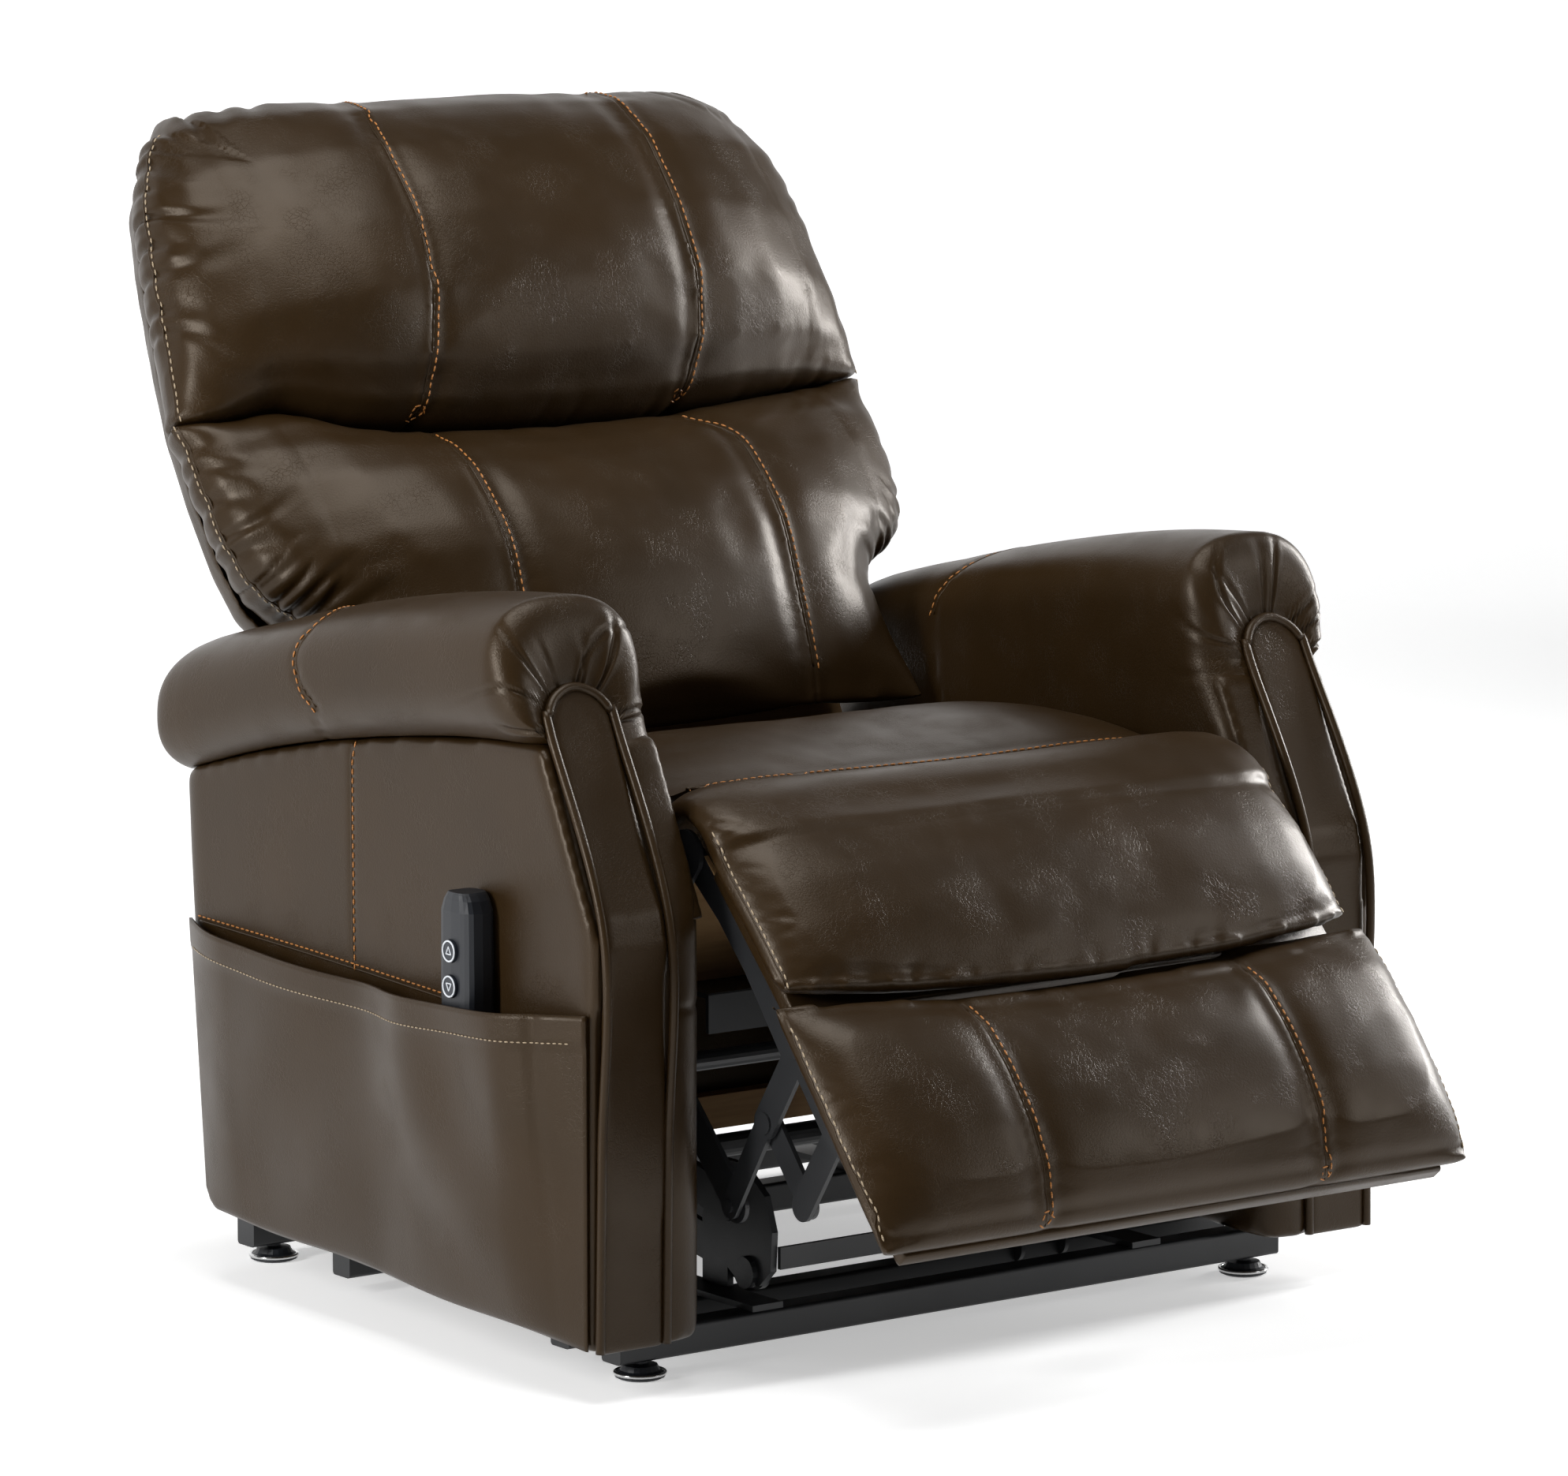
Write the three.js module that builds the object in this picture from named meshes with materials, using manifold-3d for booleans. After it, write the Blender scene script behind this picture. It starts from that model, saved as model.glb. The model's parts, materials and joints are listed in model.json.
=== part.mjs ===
// Power lift recliner chair, drawn in millimetres in the half-reclined pose: back tilted, footrest half out.
// +Z is up, the chair faces -Y and +X is the sitter's left. The frame stands on the floor at Z = 0.
// The chair is drawn with Y = 0 at the front faces of the arms; the whole group is then centred on its footprint.

import * as THREE from 'three';
import { mergeVertices } from 'three/addons/utils/BufferGeometryUtils.js';
import Module from 'manifold-3d';

const wasm = await Module();
wasm.setup();

// ---------------------------------------------------------------- driving dimensions

const GAP = 0.3; // between pieces that seat on each other
const FOOTPRINT_CENTRE_Y = 318; // middle of the footprint, measured from the arms' front faces

// Floor frame: square tubes across, flat bars along, levelling glides under the corners.
const TUBE = 25.4;
const TUBE_CORNER = 3;
const FRAME_BOTTOM_Z = 15;
const FRAME_HALF_LENGTH = 339;
const FRONT_TUBE_Y = 48;
const SECOND_TUBE_Y = 118;
const MID_TUBE_Y = 434;
const REAR_TUBE_Y = 581;
const SIDE_BAR_X = 180;
const SIDE_BAR_WIDTH = 30;
const SIDE_BAR_THICK = 5;
const GLIDE_X = FRAME_HALF_LENGTH - 28;
const GLIDE_RADIUS = 20;
const GLIDE_STEM_RADIUS = 6;

// Lift linkage: two pairs of arms from the front posts to the plates under the seat.
const PLATE = 6;
const POST_X = 179;
const POST_TOP_Z = 150;
const LOWER_PIVOT = [88, 63];
const UPPER_PIVOT = [115, 115];
const LOWER_REAR_PIVOT = [400, 120];
const UPPER_REAR_PIVOT = [520, 231];
const ARM_WIDTH = 30;
const ARM_THICK = 5.5;
const PIN_RADIUS = 6;
const PIN_PLAY = 0.4;
const OPEN_PIN_PLAY = 1.4; // the upper arms' rear holes, which take up the linkage's small error
const ARM_CROSS_RADIUS = 10;
const ARM_CROSS_OFFSET = 246; // from the lower pivot along the lower arm

// Actuator: gear motor low at the front, rod end on the seat's cross tube.
const ACTUATOR_X = 137;
const ACTUATOR_FOOT = [120, 50.4];
const ACTUATOR_HEAD = [380, 262];
const MOTOR_WIDTH = 84;
const OUTER_TUBE_RADIUS = 19;
const ROD_RADIUS = 10;
const ACTUATOR_PLAY = 4.4; // in the rod end's eye, for the same reason

// Seat carrier.
const CROSS_TUBE_Z = 274.7;
const FRONT_CROSS_TUBE_Y = 175;
const MID_CROSS_TUBE_Y = ACTUATOR_HEAD[0] + 14; // clear of the rod end as it swings
const REAR_CROSS_TUBE_Y = 500;
const BACK_LOBE = 18;
const SEAT_FRAME_Z = [300.4, 384];
const SEAT_FRAME_Y = [106, 540];
const SEAT_FRAME_HALF_WIDTH = 247;
const LINK_SPACE = 25; // between the seat frame and the side plates, for the footrest links
const SIDE_PLATE_X = SEAT_FRAME_HALF_WIDTH + LINK_SPACE;
const SIDE_PLATE_THICK = 4;
const RAIL_THICK = 22;

// Arms.
const ARM_SPACE = 10; // from the side plates to the arms, for the bolted bosses
const ARM_BODY_WIDTH = 112;
const ARM_INNER_X = SIDE_PLATE_X + SIDE_PLATE_THICK + ARM_SPACE;
const ARM_OUTER_X = ARM_INNER_X + ARM_BODY_WIDTH;
const ARM_REAR_Y = 598;
const ARM_REAR_LEAN = 26; // how far the rear edge comes forward from the roll to the bottom
const LEAN_FROM_Y = 370;
const ARM_BOTTOM_Z = [39, 61]; // at the front and at the rear
const KNEE_Z = 368; // where the arm's front face starts to lean back
const ROLL_SEAM_Z = [510, 426]; // the roll's lower seam at the front and at the rear
const ARCH_Y = 90;
const ARCH_TOP_Z = 549;
const ARM_STATIONS = [160, 260, 370, 480, 560]; // shared by the arm and its roll, so that they seat
const ROLL_CENTRE_X = ARM_OUTER_X - 47.5;
const ROLL_RADIUS_X = 70;
const ROLL_HEIGHT = [111, 97];
const PANEL_X = [ARM_OUTER_X - 69, ARM_OUTER_X - 4]; // the inset front panel's two piped seams
const PIPING_RADIUS = 3.6;

// Seat, back and footrest.
const SEAT_HALF_WIDTH = ARM_INNER_X - 12;
const SEAT_SEAM_HALF_WIDTH = SEAT_HALF_WIDTH - 13;
const SEAT_REAR_Y = 412;
const BACK_PIVOT = [575, 400];
const BACK_ANGLE = 28; // recline from the vertical in the drawn pose
const BACK_BASE = 24; // the pillows' flat backs, in front of the frame's middle plane
const RIM_HEIGHT = 56;
const CREASE_LIFT = 38; // how far the crease between the pillows rises at the sides
const SEWN_LINE_X = 130;
const BACK_HALF_WIDTH = ARM_INNER_X + 75; // at its widest, over the arms
const SIDE_DRAW_IN = 16; // how far the pillows' sides come in towards their flat backs
const BACK_FRAME_M = [-8, 20]; // the back frame's rear and front faces, from the pivot's plane
const BACK_LEG_X = SIDE_PLATE_X - 2;
const BACK_COVER_THICK = 4;
const COVER_DRAW_IN = [18, 38]; // from the pillows' outline, at the cover's front edge and at its rear face
const BACK_COVER_BOTTOM = 34;
const FOOT_PIVOT = [48, 415];
const KNUCKLE = [-80, 282]; // the hinge between the two footrest boards, under the crease
const WRAP_RADIUS = 51; // the chaise pad's rounded end round the front pivot
const WRAP_FLARE = 6; // how much larger that radius is at the pad's sides
const WRAP_START = -118; // degrees, from the pad's own upright
const CREASE_BOW = 24; // how far the crease between the footrest pads curves up at the sides
const CREASE_LEAN = 4.4;
const CHAISE_HALF_WIDTH = ARM_INNER_X - 5;
const OTTOMAN_WIDER = 11;
const FOOT_ANGLE = 50.4; // the lower pad's slope in the drawn pose
const BOARD_THICK = 10;
const BOARD_OFFSET = 14; // from the boards' pivots to their undersides

// Footrest links, in layers counted inward from the side plates.
const LINK_WIDTH = 28;
const LINK_THICK = 4;
const LAYER = 5.5;
const BRACKET_LAYER_X = SIDE_PLATE_X - LAYER;
const LINK_PIN_RADIUS = 5;
const BOOMERANG_BEND = [-34, 213];
const BOOMERANG_FOOT = [12, 139];
const TOGGLE_LENGTH = 75.3;
const TORQUE_TUBE_OFFSET = 50;
const TORQUE_TUBE_RADIUS = 8;

// Pocket and handset, on the sitter's right.
const POCKET_Y = [6, 588];
const POCKET_TOP_Z = [307, 305]; // at the front and at the rear
const POCKET_BULGE = 34;
const POCKET_THICK = 2.6;
const HANDSET_SIZE = [31, 44, 150];
const HANDSET_CENTRE = [-ARM_OUTER_X - GAP - HANDSET_SIZE[0] / 2, 147, 312];
const BUTTON_RADIUS = 9;
const BUTTON_Z = [341, 313];
const BUTTON_RISE = 2.2;

// ---------------------------------------------------------------- materials

const finish = (color, roughness, metalness = 0) =>
  new THREE.MeshStandardMaterial({ color, roughness, metalness });

const leather = finish(0x2c1c13, 0.35);
const blackSteel = finish(0x1b1c1e, 0.45, 0.6);
const wood = finish(0xa87f4f, 0.7);
const blackPlastic = finish(0x16181d, 0.5);
const buttonPlastic = finish(0x20232b, 0.4);
const brightSteel = finish(0x9a9a9a, 0.3, 0.9);

// ---------------------------------------------------------------- small tools

const lerp = (a, b, f) => a + (b - a) * f;
const radians = THREE.MathUtils.degToRad;
const SIDES = [['left', 1], ['right', -1]];

const chair = new THREE.Group();

function add(name, geometry, material) {
  geometry.computeVertexNormals();
  const mesh = new THREE.Mesh(geometry, material);
  mesh.name = name;
  chair.add(mesh);
}

function positionsOnly(geometry) {
  const bare = new THREE.BufferGeometry();
  bare.setAttribute('position', geometry.getAttribute('position').clone());
  if (geometry.index) bare.setIndex(geometry.index.clone());
  return mergeVertices(bare, 1e-4);
}

function toSolid(geometry) {
  const merged = positionsOnly(geometry);
  return new wasm.Manifold(new wasm.Mesh({
    numProp: 3,
    vertProperties: new Float32Array(merged.attributes.position.array),
    triVerts: new Uint32Array(merged.index.array),
  }));
}

function toGeometry(solid) {
  const mesh = solid.getMesh();
  const geometry = new THREE.BufferGeometry();
  geometry.setAttribute('position', new THREE.BufferAttribute(mesh.vertProperties, 3));
  geometry.setIndex(new THREE.BufferAttribute(mesh.triVerts, 1));
  return geometry;
}

const join = (...parts) => toGeometry(parts.map(toSolid).reduce((a, b) => a.add(b)));
const cut = (body, ...tools) => toGeometry(tools.map(toSolid).reduce((a, b) => a.subtract(b), toSolid(body)));

// The same geometry on the other side of the chair.
function mirrored(geometry) {
  const copy = positionsOnly(geometry);
  copy.scale(-1, 1, 1);
  const index = copy.index.array;
  for (let i = 0; i < index.length; i += 3) {
    [index[i + 1], index[i + 2]] = [index[i + 2], index[i + 1]];
  }
  return copy;
}

const onSide = (geometry, side) => (side > 0 ? geometry : mirrored(geometry));

function box(x, y, z) {
  const geometry = new THREE.BoxGeometry(x[1] - x[0], y[1] - y[0], z[1] - z[0]);
  geometry.translate((x[0] + x[1]) / 2, (y[0] + y[1]) / 2, (z[0] + z[1]) / 2);
  return geometry;
}

// Extrudes an outline drawn in Y and Z along X.
function alongX(shape, x0, x1, curveSegments = 8) {
  const geometry = new THREE.ExtrudeGeometry(shape, { depth: x1 - x0, bevelEnabled: false, curveSegments });
  const axes = new THREE.Matrix4().makeBasis(
    new THREE.Vector3(0, 1, 0), new THREE.Vector3(0, 0, 1), new THREE.Vector3(1, 0, 0));
  geometry.applyMatrix4(axes);
  geometry.translate(x0, 0, 0);
  return geometry;
}

// A round bar along X through a point in the Y-Z plane.
function rod(x0, x1, [y, z], radius, segments = 14) {
  const geometry = new THREE.CylinderGeometry(radius, radius, x1 - x0, segments);
  geometry.rotateZ(Math.PI / 2);
  geometry.translate((x0 + x1) / 2, y, z);
  return geometry;
}

// A straight-sided outline, turned counter-clockwise.
function polygon(points) {
  const outline = points.map(([y, z]) => new THREE.Vector2(y, z));
  if (THREE.ShapeUtils.isClockWise(outline)) outline.reverse();
  return new THREE.Shape(outline);
}

function roundHole(shape, [y, z], radius) {
  const hole = new THREE.Path();
  hole.absarc(y, z, radius, 0, Math.PI * 2, true);
  shape.holes.push(hole);
}

// A flat bar with round ends from one pivot to another, with a hole at each end.
function barShape(a, b, width, holes) {
  const angle = Math.atan2(b[1] - a[1], b[0] - a[0]);
  const shape = new THREE.Shape();
  shape.absarc(b[0], b[1], width / 2, angle - Math.PI / 2, angle + Math.PI / 2, false);
  shape.absarc(a[0], a[1], width / 2, angle + Math.PI / 2, angle + Math.PI * 1.5, false);
  shape.closePath();
  holes.forEach(([point, radius]) => roundHole(shape, point, radius));
  return shape;
}

const between = (a, b, f) => [lerp(a[0], b[0], f), lerp(a[1], b[1], f)];
const distance = (a, b) => Math.hypot(b[0] - a[0], b[1] - a[1]);

// Triangles over a list of points, turned to face outwards.
function closedSurface(points, index) {
  const [a, b, c] = [new THREE.Vector3(), new THREE.Vector3(), new THREE.Vector3()];
  let volume = 0;
  for (let i = 0; i < index.length; i += 3) {
    a.fromArray(points[index[i]]);
    b.fromArray(points[index[i + 1]]);
    c.fromArray(points[index[i + 2]]);
    volume += a.dot(b.cross(c));
  }
  const geometry = new THREE.BufferGeometry();
  geometry.setAttribute('position', new THREE.Float32BufferAttribute(points.flat(), 3));
  geometry.setIndex(volume < 0 ? [...index].reverse() : index);
  return geometry;
}

// A padded solid: a grid of outer points, rows by columns, closed by one inner point at each row's two ends.
function pad(rows, innerStart, innerEnd) {
  const columns = rows[0].length;
  const points = [...rows.flat(), ...innerStart, ...innerEnd];
  const outer = (r, c) => r * columns + c;
  const start = (r) => rows.length * columns + r;
  const end = (r) => rows.length * (columns + 1) + r;
  const index = [];
  const quad = (a, b, c, d) => index.push(a, b, c, a, c, d);
  for (let r = 0; r + 1 < rows.length; r += 1) {
    for (let c = 0; c + 1 < columns; c += 1) {
      quad(outer(r, c), outer(r, c + 1), outer(r + 1, c + 1), outer(r + 1, c));
    }
    quad(outer(r, columns - 1), end(r), end(r + 1), outer(r + 1, columns - 1));
    quad(end(r), start(r), start(r + 1), end(r + 1));
    quad(start(r), outer(r, 0), outer(r + 1, 0), start(r + 1));
  }
  const last = rows.length - 1;
  for (let c = 0; c + 1 < columns; c += 1) {
    index.push(start(0), outer(0, c + 1), outer(0, c));
    index.push(start(last), outer(last, c), outer(last, c + 1));
  }
  index.push(start(0), end(0), outer(0, columns - 1));
  index.push(start(last), outer(last, columns - 1), end(last));
  return closedSurface(points, index);
}

// The same values, each at least a step beyond the one before.
function rising(values, start, step = 2) {
  let last = start - step;
  return values.map((value) => {
    last = Math.max(value, last + step);
    return last;
  });
}

// A closed solid through rings of points, each ring with the same count and turning the same way.
function loft(rings) {
  const count = rings[0].length;
  const points = rings.flat();
  const index = [];
  for (let r = 0; r + 1 < rings.length; r += 1) {
    for (let i = 0; i < count; i += 1) {
      const j = (i + 1) % count;
      const a = r * count;
      index.push(a + i, a + j, a + count + j, a + i, a + count + j, a + count + i);
    }
  }
  const middle = (ring) => [0, 1, 2].map((k) => ring.reduce((sum, p) => sum + p[k], 0) / count);
  points.push(middle(rings[0]), middle(rings[rings.length - 1]));
  const last = (rings.length - 1) * count;
  for (let i = 0; i < count; i += 1) {
    const j = (i + 1) % count;
    index.push(points.length - 2, j, i, points.length - 1, last + i, last + j);
  }
  return closedSurface(points, index);
}

// How a cushion falls off from its middle (0) to its side seam (1).
const crown = (u, power = 3, root = 2) => Math.pow(Math.max(0, 1 - Math.pow(Math.abs(u), power)), 1 / root);
const groove = (x, at, depth = 4, width = 9) => depth * Math.exp(-Math.pow((Math.abs(x) - at) / width, 2));

// Columns across a cushion, with three at each sewn line.
function columnsAcross(halfWidth, sewnLine = SEWN_LINE_X, step = 10) {
  const outside = [0.52, 0.68, 0.82, 0.92, 0.975, 1].map((f) => f * halfWidth);
  const right = [0, sewnLine * 0.5, sewnLine - step, sewnLine, sewnLine + step, ...outside];
  return [...right.slice(1).reverse().map((x) => -x), ...right];
}

// ---------------------------------------------------------------- floor frame

const frameTopZ = FRAME_BOTTOM_Z + TUBE;

function squareTube(x0, x1, y, z) {
  const shape = new THREE.Shape();
  const r = TUBE_CORNER;
  shape.absarc(y + TUBE - r, z + r, r, -Math.PI / 2, 0, false);
  shape.absarc(y + TUBE - r, z + TUBE - r, r, 0, Math.PI / 2, false);
  shape.absarc(y + r, z + TUBE - r, r, Math.PI / 2, Math.PI, false);
  shape.absarc(y + r, z + r, r, Math.PI, Math.PI * 1.5, false);
  return alongX(shape, x0, x1, 2);
}

function addFloorFrame() {
  const tubes = {
    base_front_tube: FRONT_TUBE_Y,
    base_mid_tube: MID_TUBE_Y,
    base_rear_tube: REAR_TUBE_Y,
  };
  Object.entries(tubes).forEach(([name, y]) => {
    add(name, squareTube(-FRAME_HALF_LENGTH, FRAME_HALF_LENGTH, y, FRAME_BOTTOM_Z), blackSteel);
  });
  const ears = [-1, 1].map((side) => {
    const x = ACTUATOR_X + side * (MOTOR_WIDTH / 4 + GAP);
    const ear = barShape([ACTUATOR_FOOT[0], frameTopZ - 3], ACTUATOR_FOOT, 22, [[ACTUATOR_FOOT, LINK_PIN_RADIUS + PIN_PLAY]]);
    return side > 0 ? alongX(ear, x, x + 4) : alongX(ear, x - 4, x);
  });
  add('base_second_tube', join(squareTube(-FRAME_HALF_LENGTH, FRAME_HALF_LENGTH, SECOND_TUBE_Y, FRAME_BOTTOM_Z), ...ears),
    blackSteel);
  const frontY = FRONT_TUBE_Y + TUBE / 2;
  const rearY = REAR_TUBE_Y + TUBE / 2;
  SIDES.forEach(([word, side]) => {
    add(`base_side_${word}`, onSide(sideBarWithPost(), side), blackSteel);
    add(`glide_front_${word}`, glide(side * GLIDE_X, frontY), blackPlastic);
    add(`glide_rear_${word}`, glide(side * GLIDE_X, rearY), blackPlastic);
  });
  add('post_cross_bar', box([-POST_X + GAP, POST_X - GAP], [53, 57], [70, 88]), blackSteel);
}

// A levelling glide: a cup on a stem, screwed into the tube above it.
function glide(x, y) {
  const outline = [[0, 0], [GLIDE_RADIUS - 3, 0], [GLIDE_RADIUS, 1.5], [GLIDE_RADIUS, 4], [GLIDE_RADIUS - 4, 7],
    [GLIDE_RADIUS - 6, 11], [GLIDE_STEM_RADIUS, 12], [GLIDE_STEM_RADIUS, FRAME_BOTTOM_Z - GAP],
    [0, FRAME_BOTTOM_Z - GAP]];
  const geometry = new THREE.LatheGeometry(outline.map(([r, z]) => new THREE.Vector2(r, z)), 20);
  geometry.rotateX(Math.PI / 2);
  geometry.translate(x, y, 0);
  return geometry;
}

// The flat bar along one side with the front post welded to it; the post carries both arms' front pivots.
function sideBarWithPost() {
  const barTop = frameTopZ + GAP + SIDE_BAR_THICK;
  const bar = box([SIDE_BAR_X, SIDE_BAR_X + SIDE_BAR_WIDTH], [FRONT_TUBE_Y, REAR_TUBE_Y + TUBE], [frameTopZ + GAP, barTop]);
  const footY = SECOND_TUBE_Y - 2;
  const post = polygon([[58, 68], [73, 54], [103, 54], [footY, 62], [footY, barTop - 3], [footY + 34, barTop - 3],
    [footY + 34, 100], [136, POST_TOP_Z - 14], [124, POST_TOP_Z], [96, POST_TOP_Z], [66, 128], [56, 100]]);
  const plate = alongX(post, POST_X, POST_X + PLATE, 10);
  const lowerPin = rod(POST_X - ARM_THICK - 2, POST_X + 1, LOWER_PIVOT, PIN_RADIUS);
  const lowerBoss = rod(POST_X + PLATE - 1, POST_X + PLATE + 5, LOWER_PIVOT, 13, 18);
  const upperPin = rod(POST_X + PLATE - 1, POST_X + PLATE + ARM_THICK + 2, UPPER_PIVOT, PIN_RADIUS);
  return join(bar, plate, lowerPin, lowerBoss, upperPin);
}

// ---------------------------------------------------------------- lift arms and actuator

function addLiftArms() {
  const lower = barShape(LOWER_PIVOT, LOWER_REAR_PIVOT, ARM_WIDTH,
    [[LOWER_PIVOT, PIN_RADIUS + PIN_PLAY], [LOWER_REAR_PIVOT, PIN_RADIUS + PIN_PLAY]]);
  const upper = barShape(UPPER_PIVOT, UPPER_REAR_PIVOT, ARM_WIDTH,
    [[UPPER_PIVOT, PIN_RADIUS + PIN_PLAY], [UPPER_REAR_PIVOT, PIN_RADIUS + OPEN_PIN_PLAY]]);
  const lowerX = POST_X - GAP - ARM_THICK;
  const upperX = POST_X + PLATE + GAP;
  SIDES.forEach(([word, side]) => {
    add(`lower_lift_arm_${word}`, onSide(alongX(lower, lowerX, lowerX + ARM_THICK), side), blackSteel);
    add(`upper_lift_arm_${word}`, onSide(alongX(upper, upperX, upperX + ARM_THICK), side), blackSteel);
  });
  const crossPoint = between(LOWER_PIVOT, LOWER_REAR_PIVOT, ARM_CROSS_OFFSET / distance(LOWER_PIVOT, LOWER_REAR_PIVOT));
  const reach = lowerX - GAP;
  add('lift_arm_cross_tube', rod(-reach, reach, crossPoint, ARM_CROSS_RADIUS, 18), blackSteel);
}

// Turns geometry drawn with +Y along the actuator so that it runs from its foot pivot to its head pivot.
function alongActuator(geometry) {
  const angle = Math.atan2(ACTUATOR_HEAD[1] - ACTUATOR_FOOT[1], ACTUATOR_HEAD[0] - ACTUATOR_FOOT[0]);
  geometry.rotateX(angle);
  geometry.translate(ACTUATOR_X, ACTUATOR_FOOT[0], ACTUATOR_FOOT[1]);
  return geometry;
}

function addActuator() {
  const length = distance(ACTUATOR_FOOT, ACTUATOR_HEAD);
  const tubeEnd = length - 46;
  const eyeHalf = MOTOR_WIDTH / 4 - 2;
  const eye = rod(-eyeHalf, eyeHalf, [0, 0], 9.5, 18);
  const pin = rod(-eyeHalf - 7, eyeHalf + 7, [0, 0], LINK_PIN_RADIUS);
  const neck = box([-eyeHalf + 4, eyeHalf - 4], [4, 34], [-9, 9]);
  const gearbox = box([-26, 26], [30, 84], [-24, 30]);
  const motor = new THREE.CylinderGeometry(22, 22, 78, 20);
  motor.translate(0, 82, 48);
  add('actuator_motor', alongActuator(join(eye, pin, neck, gearbox, motor)), blackPlastic);
  const tube = new THREE.CylinderGeometry(OUTER_TUBE_RADIUS, OUTER_TUBE_RADIUS, tubeEnd - 84 - GAP, 20);
  tube.translate(0, (tubeEnd + 84 + GAP) / 2, 0);
  const bore = new THREE.CylinderGeometry(ROD_RADIUS + 0.5, ROD_RADIUS + 0.5, tubeEnd - 100, 16);
  bore.translate(0, (tubeEnd + 100) / 2 + 1, 0);
  add('actuator_tube', alongActuator(cut(tube, bore)), blackSteel);
  const piston = new THREE.CylinderGeometry(ROD_RADIUS, ROD_RADIUS, length - 108, 16);
  piston.translate(0, (length + 108) / 2, 0);
  const head = rod(-10, 10, [length, 0], 12.4, 20);
  const headHole = rod(-11, 11, [length, 0], LINK_PIN_RADIUS + ACTUATOR_PLAY, 20);
  add('actuator_rod', alongActuator(cut(join(piston, head), headHole)), brightSteel);
}

// ---------------------------------------------------------------- seat carrier

function addSeatCarrier() {
  const tubeReach = SIDE_PLATE_X - GAP;
  const headEars = [-1, 1].map((side) => {
    const x = ACTUATOR_X + side * 10.5;
    const ear = barShape([MID_CROSS_TUBE_Y + 10, CROSS_TUBE_Z + 8], ACTUATOR_HEAD, 22, []);
    return side > 0 ? alongX(ear, x, x + 4) : alongX(ear, x - 4, x);
  });
  const headPin = rod(ACTUATOR_X - 12, ACTUATOR_X + 12, ACTUATOR_HEAD, LINK_PIN_RADIUS);
  add('carrier_front_tube', squareTube(-tubeReach, tubeReach, FRONT_CROSS_TUBE_Y, CROSS_TUBE_Z), blackSteel);
  add('carrier_mid_tube',
    join(squareTube(-tubeReach, tubeReach, MID_CROSS_TUBE_Y, CROSS_TUBE_Z), ...headEars, headPin), blackSteel);
  add('carrier_rear_tube', squareTube(-tubeReach, tubeReach, REAR_CROSS_TUBE_Y, CROSS_TUBE_Z), blackSteel);
  SIDES.forEach(([word, side]) => {
    add(`lift_plate_${word}`, onSide(liftPlate(), side), blackSteel);
    add(`side_plate_${word}`, onSide(sidePlate(), side), blackSteel);
  });
  const barX = SEAT_FRAME_HALF_WIDTH;
  const upright = box([-barX, barX], [56, 60], [268, 299]);
  const shelf = box([-barX, barX], [57, 128], [296, 300]);
  add('front_cross_bar', join(upright, shelf), blackSteel);
  const outer = box([-SEAT_FRAME_HALF_WIDTH, SEAT_FRAME_HALF_WIDTH], SEAT_FRAME_Y, SEAT_FRAME_Z);
  const inner = box([-SEAT_FRAME_HALF_WIDTH + RAIL_THICK, SEAT_FRAME_HALF_WIDTH - RAIL_THICK],
    [SEAT_FRAME_Y[0] + RAIL_THICK, SEAT_FRAME_Y[1] - RAIL_THICK], [SEAT_FRAME_Z[0] - 10, SEAT_FRAME_Z[1] + 10]);
  add('seat_frame', cut(outer, inner), wood);
  const railX = ARM_INNER_X - GAP;
  const [, , , railRear] = skirtSection();
  add('rear_rail', box([-railX, railX], [railRear[0] - GAP - 18, railRear[0] - GAP], [66, 96]), wood);
}

// Plate under the seat that takes both arms' rear pivots.
function liftPlate() {
  const top = CROSS_TUBE_Z - GAP;
  const outline = new THREE.Shape();
  outline.moveTo(318, top);
  outline.lineTo(330, 236);
  outline.lineTo(378, 128);
  outline.absarc(LOWER_REAR_PIVOT[0], LOWER_REAR_PIVOT[1], 22, Math.PI * 0.9, Math.PI * 1.85, false);
  outline.lineTo(452, 196);
  outline.absarc(UPPER_REAR_PIVOT[0], UPPER_REAR_PIVOT[1], 20, -Math.PI * 0.6, 0, false);
  outline.lineTo(540, top);
  const window = new THREE.Path();
  window.absarc(398, 205, 24, 0, Math.PI * 2, true);
  outline.holes.push(window);
  const plate = alongX(outline, POST_X, POST_X + PLATE, 10);
  const lowerPin = rod(POST_X - ARM_THICK - 2, POST_X + 1, LOWER_REAR_PIVOT, PIN_RADIUS);
  const upperPin = rod(POST_X + PLATE - 1, POST_X + PLATE + ARM_THICK + 2, UPPER_REAR_PIVOT, PIN_RADIUS);
  return join(plate, lowerPin, upperPin);
}

const drivePivot = [FOOT_PIVOT[0] + BOOMERANG_FOOT[0] - KNUCKLE[0], FOOT_PIVOT[1] + BOOMERANG_FOOT[1] - KNUCKLE[1]];

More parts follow.
